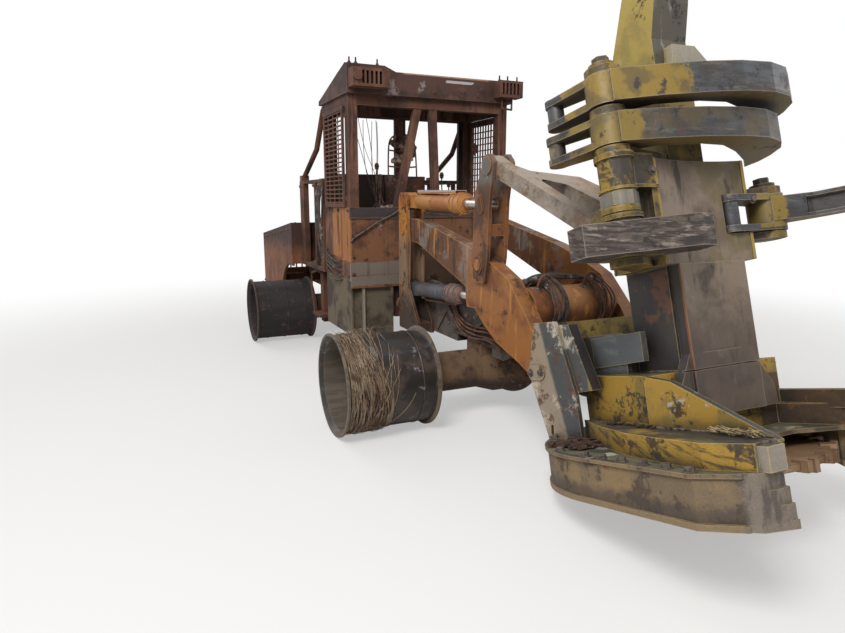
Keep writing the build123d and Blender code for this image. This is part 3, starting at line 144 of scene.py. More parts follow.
def mask(tree, place, recipe, seed):
    """Grey mask from 0 to 1 for one layer of wear, some of them painted shade, with its pattern at a real size."""
    kind, *facts = recipe
    if kind == "both":
        pair = [mask(tree, place, part, seed + 0.7 * k) for k, part in enumerate(facts)]
        return add_node(tree, "ShaderNodeMath", {"operation": "MULTIPLY"}, links={0: pair[0], 1: pair[1]}).outputs[0]
    where = place.outputs["Object"]
    grain, detail, rough = GRAINS.get(kind, GRAINS["flakes"])
    size_mm = facts[0] if kind in GRAINS else 90.0
    moved = add_node(tree, "ShaderNodeMapping", values={"Scale": grain, "Location": (seed, seed * 0.7, seed * 0.3)},
                     links={"Vector": where}).outputs[0]
    noise = add_node(tree, "ShaderNodeTexNoise", values={"Scale": 1000.0 / size_mm, "Detail": detail,
                     "Roughness": rough}, links={"Vector": moved}).outputs["Fac"]
    if kind in GRAINS:
        value, low, high = noise, facts[1], facts[2]
    elif kind == "edge":
        bevel = add_node(tree, "ShaderNodeBevel", {"samples": 4}, {"Radius": facts[0] * MM})
        normal = add_node(tree, "ShaderNodeNewGeometry").outputs["Normal"]
        level = add_node(tree, "ShaderNodeVectorMath", {"operation": "DOT_PRODUCT"},
                         links={0: bevel, 1: normal}).outputs["Value"]
        bent = add_node(tree, "ShaderNodeMath", {"operation": "SUBTRACT"}, {0: 1.0}, {1: level}).outputs[0]
        value = add_node(tree, "ShaderNodeMath", {"operation": "MULTIPLY"}, links={0: bent, 1: noise}).outputs[0]
        low, high = facts[1], facts[2]
    elif kind == "occlusion_shade":
        # Painted shade in joints and corners, from ambient occlusion; the noise breaks its border up
        open_share = add_node(tree, "ShaderNodeAmbientOcclusion", {"samples": 4}, {"Distance": facts[0] * MM})
        value = add_node(tree, "ShaderNodeMath", {"operation": "MULTIPLY_ADD"}, {1: -0.8, 2: 0.4}, {0: noise})
        value = add_node(tree, "ShaderNodeMath", links={0: value, 1: open_share.outputs["AO"]}).outputs[0]
        value = add_node(tree, "ShaderNodeMath", {"operation": "SUBTRACT"}, {0: 1.0}, {1: value}).outputs[0]
        low, high = facts[1], facts[2]
    elif kind == "facing":
        level = add_node(tree, "ShaderNodeVectorMath", {"operation": "DOT_PRODUCT"}, {1: facts[0]},
                         {0: place.outputs["Normal"]}).outputs["Value"]
        value = add_node(tree, "ShaderNodeMath", {"operation": "MULTIPLY_ADD"}, {1: 0.9, 2: -0.45}, {0: noise})
        value = add_node(tree, "ShaderNodeMath", links={0: value, 1: level}).outputs[0]
        low, high = facts[1], facts[2]
    elif kind == "along":
        start, end, ragged_mm = facts
        span = end - start
        apart = add_node(tree, "ShaderNodeVectorMath", {"operation": "SUBTRACT"}, {1: start}, {0: where})
        level = add_node(tree, "ShaderNodeVectorMath", {"operation": "DOT_PRODUCT"}, {1: span / span.length_squared},
                         {0: apart}).outputs["Value"]
        spread = ragged_mm * MM / span.length
        value = add_node(tree, "ShaderNodeMath", {"operation": "MULTIPLY_ADD"}, {1: 2 * spread, 2: -spread},
                         {0: noise})
        value = add_node(tree, "ShaderNodeMath", links={0: value, 1: level}).outputs[0]
        low, high = 0.0, 1.0
    elif kind == "round":
        centre, low, high = facts[0], facts[1] * MM, facts[2] * MM
        apart = add_node(tree, "ShaderNodeVectorMath", {"operation": "SUBTRACT"}, {1: centre}, {0: where})
        flat = add_node(tree, "ShaderNodeVectorMath", {"operation": "MULTIPLY"}, {1: (1, 0, 1)},
                        {0: apart})
        value = add_node(tree, "ShaderNodeVectorMath", {"operation": "LENGTH"},
                         links={0: flat}).outputs["Value"]
    else:
        centre, half, frame, ragged = facts
        turn = (0, -HEAD_TILT, 0) if frame is head else (0, 0, 0)
        local = add_node(tree, "ShaderNodeMapping", {"vector_type": "TEXTURE"},
                         {"Location": frame(*centre), "Rotation": turn, "Scale": [side * MM for side in half]},
                         {"Vector": where})
        away = add_node(tree, "ShaderNodeVectorMath", {"operation": "ABSOLUTE"}, links={0: local})
        parts = add_node(tree, "ShaderNodeSeparateXYZ", links={0: away})
        value = add_node(tree, "ShaderNodeMath", {"operation": "MAXIMUM"}, links={0: parts.outputs[0],
                         1: parts.outputs[1]})
        value = add_node(tree, "ShaderNodeMath", {"operation": "MAXIMUM"}, links={0: value, 1: parts.outputs[2]})
        spread = add_node(tree, "ShaderNodeMath", {"operation": "MULTIPLY_ADD"}, {1: 2 * ragged, 2: -ragged},
                          {0: noise})
        value = add_node(tree, "ShaderNodeMath", links={0: value, 1: spread}).outputs[0]
        return add_node(tree, "ShaderNodeMapRange", {"interpolation_type": "SMOOTHSTEP"},
                        {"From Min": 0.95, "From Max": 1.0, "To Min": 1.0, "To Max": 0.0}, {"Value": value}).outputs[0]
    return add_node(tree, "ShaderNodeMapRange", {"interpolation_type": "SMOOTHSTEP"},
                    {"From Min": low, "From Max": high}, {"Value": value}).outputs[0]


def surface(name, base, rough, metal, grit_mm, bump_mm, layers):
    """A material of one base colour under layers of wear and of painted shade and glints, each (mask, colour, cover,
    roughness) with its metallic share after them where it has one."""
    made = bpy.data.materials.new(name)
    made.use_nodes = True
    tree = made.node_tree
    tree.nodes.clear()
    place = add_node(tree, "ShaderNodeTexCoord")
    # Scale and grit of 1 mm or so are too fine to show, and are drawn 3 to 9 mm across
    grit = add_node(tree, "ShaderNodeTexNoise", values={"Scale": 1000.0 / grit_mm, "Detail": 7.0, "Roughness": 0.7},
                    links={"Vector": place.outputs["Object"]}).outputs["Fac"]
    colour, gloss, bare, height = None, None, None, grit
    shader = add_node(tree, "ShaderNodeBsdfPrincipled",
                      values={"Base Color": tint(base), "Roughness": rough, "Metallic": metal})
    for index, (recipe, layer_tint, cover, layer_rough, *more) in enumerate(layers):
        layer_metal = more[0] if more else 0.0
        amount = mask(tree, place, recipe, 2.9 * index + len(name))
        if recipe[0] == "flakes":
            height = add_node(tree, "ShaderNodeMath", {"operation": "MULTIPLY_ADD"}, {1: -1.2},
                              {0: amount, 2: height}).outputs[0]
        if cover < 1.0:
            amount = add_node(tree, "ShaderNodeMath", {"operation": "MULTIPLY"}, {1: cover}, {0: amount}).outputs[0]
        mix = add_node(tree, "ShaderNodeMix", {"data_type": "RGBA"}, {6: tint(base), 7: tint(layer_tint)},
                       {"Factor": amount})
        shade = add_node(tree, "ShaderNodeMix", values={2: rough, 3: layer_rough}, links={0: amount})
        for source, target in ((colour, mix.inputs[6]), (gloss, shade.inputs[2])):
            if source is not None:
                tree.links.new(source, target)
        colour, gloss = mix.outputs[2], shade.outputs[0]
        if metal or any(any(layer[4:]) for layer in layers):
            mixed = add_node(tree, "ShaderNodeMix", values={2: metal, 3: layer_metal}, links={0: amount})
            if bare is not None:
                tree.links.new(bare, mixed.inputs[2])
            bare = mixed.outputs[0]
    if colour is not None:
        # Fine mottle, so that no field of colour is even
        mottle = add_node(tree, "ShaderNodeMapRange", values={"From Min": 0.3, "From Max": 0.7, "To Min": 0.72,
                          "To Max": 1.22}, links={"Value": grit}).outputs[0]
        spread = add_node(tree, "ShaderNodeVectorMath", {"operation": "SCALE"}, links={0: colour, "Scale": mottle})
        tree.links.new(spread.outputs[0], shader.inputs["Base Color"])
        tree.links.new(gloss, shader.inputs["Roughness"])
    if bare is not None:
        tree.links.new(bare, shader.inputs["Metallic"])
    if bump_mm:
        bump = add_node(tree, "ShaderNodeBump", values={"Strength": 0.7, "Distance": bump_mm * MM},
                        links={"Height": height})
        tree.links.new(bump.outputs[0], shader.inputs["Normal"])
    add_node(tree, "ShaderNodeOutputMaterial", links={"Surface": shader.outputs[0]})
    return made


def patch(centre, half, frame=machine, ragged=0.35):
    """Mask of a block-shaped region, its border ragged by a share of its half size."""
    return ("within", centre, half, frame, ragged)


def two_sides(centre, half, colour, cover, rough, frame=machine, ragged=0.35):
    """The same coloured region on the right and on the left."""
    return [(patch((centre[0], side * centre[1], centre[2]), half, frame, ragged), colour, cover, rough)
            for side in (-1, 1)]


FRONT_WHEEL, REAR_WHEEL = machine(0, 0, 365), machine(-3284, 0, 365)
RIGHT_HUB, LEFT_HUB = (1055, -500), (1055, 500)

# Every finish: base, roughness, metallic, grit and relief in mm, and its layers from the first laid on
# Layers masked by ambient occlusion darken joints and corners: painted shade.
FINISHES = {
    # Sprayed orange paint on the boom towers, burnt down to grey primer low down and under the pins
    "Tower_orange_paint": ("machine_orange", 0.5, 0.0, 5, 0.7, [
        (("patches", 380, 0.48, 0.60), "8a4d24", 0.85, 0.7),
        (("along", machine(0, 0, 1400), machine(0, 0, 1230), 260), "83705c", 0.85, 0.75),
        (("flakes", 200, 0.54, 0.60), "3f261d", 0.92, 0.85),
        (("flakes", 120, 0.60, 0.66), "9d8f80", 0.8, 0.7),
        (("along", machine(0, 0, 960), machine(0, 0, 700), 300), "2a1d1a", 0.85, 0.9),
        (("runs", 120, 0.56, 0.70), "3a231b", 0.7, 0.85),
        (("occlusion_shade", 70, 0.34, 0.62), "261b17", 0.8, 0.85),
        (("edge", 12, 0.05, 0.16), "c07a45", 0.8, 0.5)]),
    # Lift arm paint: deep orange on the broad front plate, soot along the beam, scratched by falling limbs
    "Lift_arm_orange_paint": ("96602f", 0.55, 0.0, 5, 0.7, [
        (("patches", 420, 0.48, 0.62), "6c3f26", 0.88, 0.75),
        (("along", machine(300, 0, 0), machine(-100, 0, 0), 420), "4f3224", 0.8, 0.8),
        (("both", ("along", machine(260, 0, 0), machine(120, 0, 0), 300), ("flakes", 260, 0.50, 0.57)),
         "7b7168", 0.85, 0.7),
        (("flakes", 210, 0.55, 0.62), "3b2820", 0.9, 0.85),
        (("runs", 60, 0.56, 0.66), "bb8038", 0.7, 0.55),
        (("runs", 90, 0.62, 0.72), "241a17", 0.8, 0.85),
        (("flakes", 330, 0.63, 0.68), "8a7a6c", 0.8, 0.7),
        (("occlusion_shade", 150, 0.28, 0.56), "2a1d18", 0.8, 0.85),
        (("edge", 14, 0.04, 0.12), "c48e4e", 0.95, 0.5)]),
    # Tilt cylinder barrel: the cleanest orange left, with a grey zinc-dusted cover
    "Cylinder_orange_paint": ("b0783e", 0.42, 0.0, 4, 0.4, [
        (("patches", 300, 0.50, 0.64), "9a5b2c", 0.8, 0.5),
        (("flakes", 130, 0.60, 0.66), "5a3a28", 0.85, 0.8),
        (("runs", 90, 0.60, 0.74), "6b3f25", 0.6, 0.7),
        (patch((-430, -380, 1722), (380, 60, 20), machine, 0.05), "a5a5a6", 0.95, 0.55),
        (("edge", 8, 0.06, 0.18), "c79468", 0.7, 0.45, 0.2)]),
    # Lift cylinder barrel: blue-grey fire scale, pink-tinted gland
    "Fire_blued_cylinder_steel": ("58575b", 0.5, 0.35, 4, 0.4, [
        (("patches", 180, 0.46, 0.60), "423b3e", 0.85, 0.6, 0.2),
        (("flakes", 110, 0.56, 0.64), "5c4034", 0.8, 0.8),
        (("along", machine(-260, 0, 0), machine(-200, 0, 0), 20), "7d665f", 0.85, 0.55, 0.2),
        (("runs", 70, 0.60, 0.72), "8a8684", 0.7, 0.45, 0.4)]),
    # Lift cylinder gland: aluminium paint turned pink by heat
    "Fire_pinked_gland": ("8a6a63", 0.55, 0.1, 4, 0.3, [
        (("patches", 70, 0.48, 0.60), "5f4643", 0.85, 0.65),
        (("flakes", 50, 0.56, 0.64), "9a8f88", 0.8, 0.5, 0.1)]),
    # Tilt lever plates: brown fire scale over orange, rubbed grey round the top
    "Lever_scorched_orange_paint": ("7f5230", 0.6, 0.0, 5, 0.6, [
        (("patches", 260, 0.44, 0.58), "442c20", 0.9, 0.8),
        (("flakes", 150, 0.54, 0.61), "332320", 0.9, 0.85),
        (("along", machine(0, 0, 1690), machine(0, 0, 1800), 60), "6a6561", 0.85, 0.55, 0.3),
        (("flakes", 120, 0.63, 0.68), "a79b8c", 0.8, 0.6),
        (("occlusion_shade", 60, 0.34, 0.62), "221a18", 0.8, 0.8),
        (("edge", 12, 0.04, 0.13), "b8763f", 0.85, 0.5, 0.1)]),
    # Cast tilt link: tan-grey primer and road dust on top, dark below with painted shade
    "Dusty_primer_casting": ("a49788", 0.8, 0.0, 7, 0.9, [
        (("patches", 240, 0.46, 0.62), "8f7258", 0.85, 0.85),
        (("flakes", 140, 0.56, 0.64), "6e4a34", 0.85, 0.85),
        # Dark underside: painted shade
        (("facing", (0, 0, -1), -0.2, 0.5), "2c2320", 0.9, 0.85),
        (("flakes", 300, 0.62, 0.67), "d0c4b4", 0.8, 0.75)]),
    # Mild steel plate, paint burnt away, dark scale and brown rust
    "Burnt_rusted_plate": ("fire_rust", 0.85, 0.0, 6, 0.8, [
        (("patches", 420, 0.42, 0.58), "dark_scale", 0.9, 0.9),
        (("flakes", 140, 0.54, 0.64), "6c4532", 0.8, 0.85),
        (("runs", 170, 0.55, 0.70), "2a1d1a", 0.8, 0.9),
        (("flakes", 460, 0.60, 0.65), "8b7a70", 0.6, 0.75),
        (("edge", 9, 0.05, 0.16), "7d5a47", 0.7, 0.7)]),
    # The cab's posts and guards: redder rust than the plates
    "Red_rusted_cab_steel": ("5c3a2c", 0.85, 0.0, 6, 0.7, [
        (("patches", 260, 0.46, 0.60), "3d2822", 0.9, 0.9),
        (("flakes", 110, 0.55, 0.64), "704a38", 0.8, 0.85),
        (("along", machine(-2060, 0, 0), machine(-2150, 0, 0), 60), "201b1c", 0.8, 0.9),
        (("both", ("facing", (1, 0, 0), 0.3, 0.9), ("runs", 120, 0.5, 0.62)), "75513f", 0.8, 0.8),
        (("occlusion_shade", 120, 0.30, 0.56), "231917", 0.8, 0.9),
        (("edge", 9, 0.05, 0.16), "8a6450", 0.7, 0.7)]),
    # Roof sheet: black scale with flakes of ash-white undercoat along its front
    "Ash_streaked_roof_sheet": ("4e332b", 0.8, 0.0, 6, 0.8, [
        (("patches", 340, 0.44, 0.58), "34251f", 0.9, 0.9),
        (("flakes", 160, 0.54, 0.62), "634238", 0.85, 0.85),
        (patch((-1340, 150, 2757), (90, 400, 7), machine, 0.7), "b08a74", 0.9, 0.6),
        (("both", patch((-1340, 260, 2716), (90, 150, 12), machine, 0.5), ("streaks", 60, 0.40, 0.50)),
         "b8b5ba", 0.9, 0.6),
        (("flakes", 300, 0.61, 0.66), "8f8684", 0.75, 0.7),
        (("edge", 10, 0.05, 0.15), "7b6258", 0.7, 0.7)]),
    # Cab tub: orange-brown front panel under a blue-black band, grey where it was rubbed, orange flank
    "Fire_browned_cab_panel": ("7a5034", 0.75, 0.0, 6, 0.8, [
        (("patches", 300, 0.46, 0.60), "4a3026", 0.85, 0.85),
        (("flakes", 120, 0.55, 0.63), "37251f", 0.85, 0.88),
        (patch((-1500, -835, 1330), (420, 30, 260), machine, 0.2), "a5682f", 0.85, 0.65),
        (patch((-1390, -200, 1530), (40, 900, 62), machine, 0.12), "2b2b30", 0.9, 0.5),
        (patch((-1390, -560, 960), (40, 300, 110), machine, 0.3), "786f65", 0.9, 0.6),
        (patch((-1390, 400, 1010), (40, 460, 160), machine, 0.4), "4c463f", 0.85, 0.7),
        (("runs", 110, 0.58, 0.70), "241b19", 0.75, 0.88),
        (("flakes", 230, 0.63, 0.67), "a8a19a", 0.75, 0.7),
        (("occlusion_shade", 70, 0.34, 0.62), "241a17", 0.8, 0.9),
        (("edge", 9, 0.05, 0.15), "9a7355", 0.75, 0.65)]),
    # Saddle tanks: olive-brown dust and mud over burnt steel, bright along the strip between the panels
    "Mud_dusted_tank_steel": ("685c4c", 0.85, 0.0, 7, 0.8, [
        (("patches", 280, 0.45, 0.60), "3a2e26", 0.9, 0.9),
        (("flakes", 130, 0.55, 0.64), "6e5f4c", 0.8, 0.85),
        (patch((-1390, -695, 650), (40, 12, 260), machine, 0.5), "9b9184", 0.85, 0.6),
        (("runs", 140, 0.57, 0.70), "2a211d", 0.75, 0.9),
        (("edge", 10, 0.05, 0.15), "8b7c6a", 0.7, 0.7)]),
    # Enclosure plate: orange paint below, burnt to dark brown above
    "Heat_faded_orange_plate": ("7d4c2e", 0.7, 0.0, 6, 0.8, [
        (("patches", 360, 0.45, 0.62), "6a3f2b", 0.85, 0.82),
        (("flakes", 240, 0.57, 0.64), "7f7066", 0.7, 0.8),
        (("along", machine(0, 0, 960), machine(0, 0, 1180), 240), "3d2925", 0.95, 0.88),
        (("runs", 130, 0.55, 0.70), "32231e", 0.75, 0.9),
        (("flakes", 150, 0.60, 0.66), "2a1f1c", 0.85, 0.88),
        (("edge", 10, 0.05, 0.15), "a06c46", 0.7, 0.7)]),
    # Yellow enamel on the saw housing: green-brown grime, black rubs and chalky patches
    "Grimed_yellow_enamel": ("6f5f4a", 0.7, 0.0, 6, 0.9, [
        (("patches", 300, 0.44, 0.58), "87704f", 0.85, 0.8),
        (("flakes", 170, 0.52, 0.59), "4a3c31", 0.9, 0.85),
        (("along", head(0, 0, 110), head(0, 0, 60), 50), "3b342f", 0.7, 0.7),
        (("rubs", 210, 0.56, 0.64), "2a2522", 0.85, 0.6),
        (("facing", tuple(HEAD_UP), 0.5, 0.9), "5d5c48", 0.85, 0.7),
        (("both", ("facing", tuple(HEAD_UP), 0.5, 0.9), ("rubs", 150, 0.50, 0.58)), "2d2f2f", 0.9, 0.55),
        (("both", ("facing", tuple(HEAD_UP), 0.5, 0.9), ("flakes", 200, 0.56, 0.60)), "b5b19c", 0.9, 0.7),
        (patch((900, 0, 12), (900, 800, 17), head, 0.1), "8a7558", 0.85, 0.75),
        (("flakes", 120, 0.60, 0.66), "7a4a2e", 0.8, 0.85),
        (("along", head(1610, 0, 0), head(1650, 0, 0), 30), "7d7266", 0.9, 0.6, 0.1),
        (("both", ("along", head(1610, 0, 0), head(1650, 0, 0), 30), ("runs", 60, 0.50, 0.60)), "4d4540", 0.8, 0.6),
        (("occlusion_shade", 60, 0.32, 0.60), "28211c", 0.85, 0.8),
        (("edge", 9, 0.04, 0.12), "a08f6a", 0.8, 0.6, 0.1)]),
    # Yellow enamel on the pedestal and decks, rubbed to black where logs drag over it
    "Log_rubbed_yellow_enamel": ("head_yellow", 0.5, 0.0, 5, 0.6, [
        (("patches", 240, 0.47, 0.60), "7c6a33", 0.85, 0.65),
        (("both", ("facing", tuple(HEAD_UP), 0.5, 0.9), ("patches", 200, 0.35, 0.50)), "57503b", 0.9, 0.8),
        (("flakes", 150, 0.54, 0.59), "2f261e", 0.92, 0.75),
        (("both", ("facing", tuple(HEAD_UP), 0.5, 0.9), ("rubs", 170, 0.46, 0.56)), "2b2d2e", 0.92, 0.5),
        (("both", patch((860, -420, 420), (150, 90, 60), head, 0.9), ("flakes", 34, 0.50, 0.54)), "29231e", 0.9, 0.6),
        (("both", ("along", head(0, 0, 330), head(0, 0, 315), 10), ("scratches", 34, 0.50, 0.60)), "3d3426", 0.85, 0.6),
        (("rubs", 160, 0.56, 0.64), "26211c", 0.85, 0.55),
        # The left wing's faces dark brown: painted shade, with rust flakes laid on it next
        (patch((1100, 600, 300), (720, 340, 190), head, 0.15), "4b3a2d", 0.92, 0.75),
        (("both", patch((1100, 600, 300), (720, 340, 190), head, 0.15), ("flakes", 130, 0.52, 0.60)),
         "7a4b2c", 0.85, 0.8),
        (patch((1695, 0, 270), (26, 640, 60), head, 0.1), "9a9186", 0.85, 0.6, 0.1),
        (("flakes", 240, 0.63, 0.67), "b8b09a", 0.85, 0.65),
        (("occlusion_shade", 140, 0.28, 0.54), "271f18", 0.88, 0.8),
        (("edge", 10, 0.04, 0.12), "c9b36a", 0.85, 0.5, 0.1)]),
    # Spine, cheeks and ears: yellow behind, ear polished pale by the arms, blue-grey worn plates, the spine's sides
    # dark with painted shade
    "Worn_spine_enamel": ("8c7534", 0.5, 0.0, 5, 0.6, [
        (("patches", 260, 0.46, 0.60), "5e5230", 0.85, 0.7),
        (("flakes", 160, 0.53, 0.60), "33291f", 0.9, 0.8),
        (("rubs", 200, 0.58, 0.66), "241f1c", 0.85, 0.6),
        # The spine's sides below the cheeks, blue-black: painted shade, on both sides
        (patch((890, 0, 820), (190, 262, 262), head, 0.08), "2e2c2f", 0.95, 0.6),
        (("both", patch((890, 0, 900), (190, 262, 170), head, 0.2), ("patches", 130, 0.50, 0.60)),
         "6d4c3b", 0.85, 0.7),
        *two_sides((270, 450, 560), (300, 24, 420), "9a8a78", 0.95, 0.6, head, 0.05),
        *[(("both", patch((270, side * 450, 560), (300, 24, 420), head, 0.05),
            ("along", head(268, 0, 563), head(296, 0, 569), 16)), "454b4e", 0.95, 0.45, 0.1) for side in (-1, 1)],
        *two_sides((440, 390, 700), (180, 46, 260), "232227", 0.95, 0.5, head, 0.05),
        *two_sides((700, 306, 690), (240, 30, 130), "54585b", 0.95, 0.45, head, 0.12),
        (("both", patch((600, -306, 690), (120, 40, 95), head, 0.5), ("rubs", 60, 0.46, 0.66)),
         "73787b", 0.7, 0.45, 0.2),
        *two_sides((1085, 302, 1340), (60, 16, 262), "ab8c38", 0.85, 0.5, head, 0.05),
        (("both", patch((270, -455, 560), (320, 30, 430), head, 0.05), ("flakes", 90, 0.54, 0.59)),
         "5a3b2a", 0.9, 0.75),
        (("both", patch((270, -455, 560), (320, 30, 430), head, 0.05), ("flakes", 200, 0.56, 0.60)),
         "c4b8a6", 0.85, 0.6),
        (("occlusion_shade", 160, 0.26, 0.52), "231d1a", 0.85, 0.75),
        (("edge", 9, 0.04, 0.12), "b7a36b", 0.8, 0.5, 0.2)]),
    # Ears and pins of the arm columns: yellow enamel, blackened at the joints by grease and by painted shade
    "Greased_yellow_enamel": ("93752b", 0.45, 0.0, 4, 0.5, [
        (("patches", 120, 0.42, 0.58), "665528", 0.85, 0.6),
        (("rubs", 60, 0.54, 0.62), "2f261d", 0.85, 0.5),
        (("flakes", 90, 0.52, 0.58), "2c241d", 0.92, 0.6),
        (("runs", 90, 0.50, 0.60), "4a3c24", 0.8, 0.6),
        (patch((*RIGHT_HUB, 2112), (70, 70, 45), head, 0.1), "3b3430", 0.9, 0.5, 0.4),
        (patch((*RIGHT_HUB, 1398), (110, 110, 36), head, 0.05), "77746c", 0.9, 0.5, 0.3),
        (patch((*LEFT_HUB, 1490), (70, 70, 40), head, 0.1), "3b3430", 0.9, 0.5, 0.4),
        (("both", patch((1055, -440, 1540), (110, 120, 70), head, 0.2), ("patches", 110, 0.44, 0.52)),
         "2b2521", 0.9, 0.6),
        (("occlusion_shade", 130, 0.20, 0.44), "1e1815", 0.92, 0.5),
        (("edge", 7, 0.04, 0.13), "c4ad5c", 0.8, 0.45, 0.1)]),
    # Horn: khaki yellow flank, dark front rubbed by stems, chalky foot
    "Stem_rubbed_horn_enamel": ("9e883a", 0.5, 0.0, 5, 0.6, [
        (("patches", 220, 0.46, 0.60), "82743a", 0.8, 0.65),
        (("facing", tuple(HEAD_AHEAD), 0.1, 0.5), "494441", 0.92, 0.55, 0.1),
        (("both", ("facing", tuple(HEAD_AHEAD), 0.1, 0.5), ("runs", 60, 0.52, 0.62)), "8f8a84", 0.85, 0.5, 0.2),
        (("flakes", 140, 0.55, 0.61), "2c2621", 0.9, 0.75),
        (patch((1090, 70, 2150), (50, 150, 90), head, 0.3), "a39a8a", 0.8, 0.6),
        (("edge", 10, 0.04, 0.12), "b9a970", 0.85, 0.5, 0.2)]),
    # Rolled arm steel polished by bark and dulled; yellow left at the hub and underneath
    "Bark_worn_arm_steel": ("3f3b39", 0.46, 0.2, 4, 0.6, [
        (("patches", 240, 0.46, 0.60), "4d5257", 0.8, 0.42, 0.3),
        (("scratches", 26, 0.44, 0.60), "2f2b2a", 0.75, 0.6),
        (("scratches", 60, 0.54, 0.64), "6c645c", 0.75, 0.42, 0.3),
        (("flakes", 120, 0.56, 0.63), "4a362c", 0.85, 0.7),
        (patch((1080, -450, 1925), (210, 270, 110), head, 0.3), "8a712c", 0.95, 0.5),
        (patch((1040, -500, 1728), (150, 200, 100), head, 0.2), "806b2c", 0.95, 0.5),
        (patch((1040, 500, 1345), (130, 150, 110), head, 0.2), "876f2c", 0.9, 0.5),
        (("both", patch((1000, 0, 1800), (300, 700, 260), head, 0.1), ("patches", 140, 0.44, 0.56)),
         "54472c", 0.7, 0.6),
        (("facing", tuple(-HEAD_UP), 0.55, 0.9), "7b6633", 0.85, 0.55),
        (("flakes", 100, 0.57, 0.62), "241f1e", 0.92, 0.55),
        (("flakes", 260, 0.61, 0.66), "8c7560", 0.75, 0.7),
        (("occlusion_shade", 140, 0.24, 0.48), "211c1a", 0.9, 0.6),
        (("edge", 9, 0.035, 0.11), "a89c8c", 0.85, 0.4, 0.4)]),
    # Heavy lower arm, charred and speckled, its edges ground pale
    "Charred_arm_casting": ("5b4f47", 0.65, 0.05, 4, 1.0, [
        (("patches", 200, 0.48, 0.62), "453833", 0.8, 0.7),
        (("scratches", 16, 0.44, 0.54), "2b2523", 0.88, 0.75),
        (("scratches", 22, 0.55, 0.63), "8d8176", 0.85, 0.6),
        (("flakes", 90, 0.58, 0.63), "201c1c", 0.92, 0.7),
        (patch((1055, -500, 1192), (120, 120, 80), head, 0.2), "7e6d38", 0.8, 0.55),
        (("edge", 12, 0.035, 0.11), "a3978a", 0.9, 0.45, 0.3)]),
    # Plate behind the trunk: brown with sap and rust, orange line down its right edge, painted shade on its faces
    # turned to the right
    "Sap_stained_wear_plate": ("695848", 0.5, 0.1, 4, 0.6, [
        (("patches", 360, 0.42, 0.58), "8a7a69", 0.75, 0.5, 0.2),
        (("patches", 260, 0.52, 0.66), "3b332e", 0.85, 0.6),
        (("runs", 110, 0.55, 0.68), "2a2523", 0.85, 0.7),
        (("runs", 60, 0.62, 0.70), "9c8d7b", 0.8, 0.45, 0.2),
        (("along", head(0, 0, 1000), head(0, 0, 700), 300), "463b35", 0.7, 0.6),
        # Faces turned to the right dark: painted shade
        (("facing", (0, -1, 0), 0.5, 0.9), "2e2a2a", 0.9, 0.7),
        (patch((1098, -222, 800), (12, 8, 270), head, 0.6), "7c4e33", 0.9, 0.7),
        (("both", patch((1085, 160, 1340), (60, 150, 260), head, 0.4), ("patches", 180, 0.40, 0.5)),
         "6a5f3c", 0.7, 0.6),
        (("occlusion_shade", 70, 0.34, 0.62), "241f1c", 0.8, 0.7),
        (("edge", 9, 0.04, 0.12), "9a8d7e", 0.8, 0.45, 0.2)]),
    # Pressed rim, tyre burnt off: oily black carbon on the drum with painted glints, tan dust on the flange
    "Carbonised_rim_steel": ("2f2a27", 0.34, 0.3, 4, 0.8, [
        (("patches", 220, 0.48, 0.62), "4a3b33", 0.8, 0.65),
        (("streaks", 130, 0.54, 0.64), "3d434c", 0.8, 0.25, 0.5),
        # Pale grey flakes over the drum: painted glints
        (("flakes", 100, 0.60, 0.65), "8b8d92", 0.8, 0.3, 0.6),
        (("flakes", 140, 0.56, 0.64), "5b3f2f", 0.75, 0.85),
        (("round", FRONT_WHEEL, 343, 352), "6f6152", 0.9, 0.75),
        (("both", ("round", FRONT_WHEEL, 343, 352), ("flakes", 80, 0.50, 0.58)), "473b32", 0.85, 0.8),
        (("round", FRONT_WHEEL, 326, 318), "7a6e60", 0.9, 0.8),
        (("both", ("round", FRONT_WHEEL, 326, 318), ("streaks", 70, 0.46, 0.58)), "4a4037", 0.8, 0.85),
        (("edge", 7, 0.05, 0.15), "94887a", 0.8, 0.5, 0.2)]),
    # Rear rims: dull dark rust
    "Rust_bloomed_rim_steel": ("2c2323", 0.75, 0.0, 4, 0.8, [
        (("streaks", 180, 0.45, 0.62), "201b1d", 0.85, 0.85),
        (("flakes", 110, 0.55, 0.64), "5a4238", 0.75, 0.85),
        (("round", REAR_WHEEL, 343, 354), "4c3c34", 0.8, 0.8),
        (("edge", 7, 0.05, 0.15), "75655a", 0.75, 0.6, 0.1)]),
    # Hard-chromed rod, heat tinted and dusty
    "Heat_tinted_chrome": ("c4c0ba", 0.22, 1.0, 3, 0.1, [
        (("patches", 90, 0.50, 0.64), "94806f", 0.7, 0.4, 0.8),
        (("flakes", 50, 0.60, 0.68), "5f4738", 0.8, 0.8)]),
    # Saw plate ground bright, with a tan bloom of fresh rust and dark tooth holders
    "Rust_bloomed_saw_steel": ("927557", 0.5, 0.3, 4, 0.4, [
        (("patches", 150, 0.45, 0.60), "76573c", 0.85, 0.65, 0.1),
        (("flakes", 70, 0.57, 0.65), "4a3830", 0.85, 0.8),
        (("edge", 8, 0.04, 0.12), "2b2524", 0.9, 0.6, 0.1)]),
    # Cast axle housing under dry mud and burnt oil, its underside darkened with painted shade
    "Mud_caked_axle_casting": ("5c4635", 0.9, 0.0, 9, 1.6, [
        (("patches", 200, 0.44, 0.58), "735a42", 0.85, 0.95),
        (("flakes", 140, 0.54, 0.62), "352821", 0.9, 0.85),
        # Dark underside: painted shade
        (("facing", (0, 0, -1), 0.1, 0.6), "2b211d", 0.8, 0.9),
        (("edge", 10, 0.05, 0.15), "8a6c50", 0.7, 0.8)]),
    # Frame plate: grey-brown scale under soot
    "Sooted_frame_plate": ("5b5048", 0.75, 0.0, 6, 0.9, [
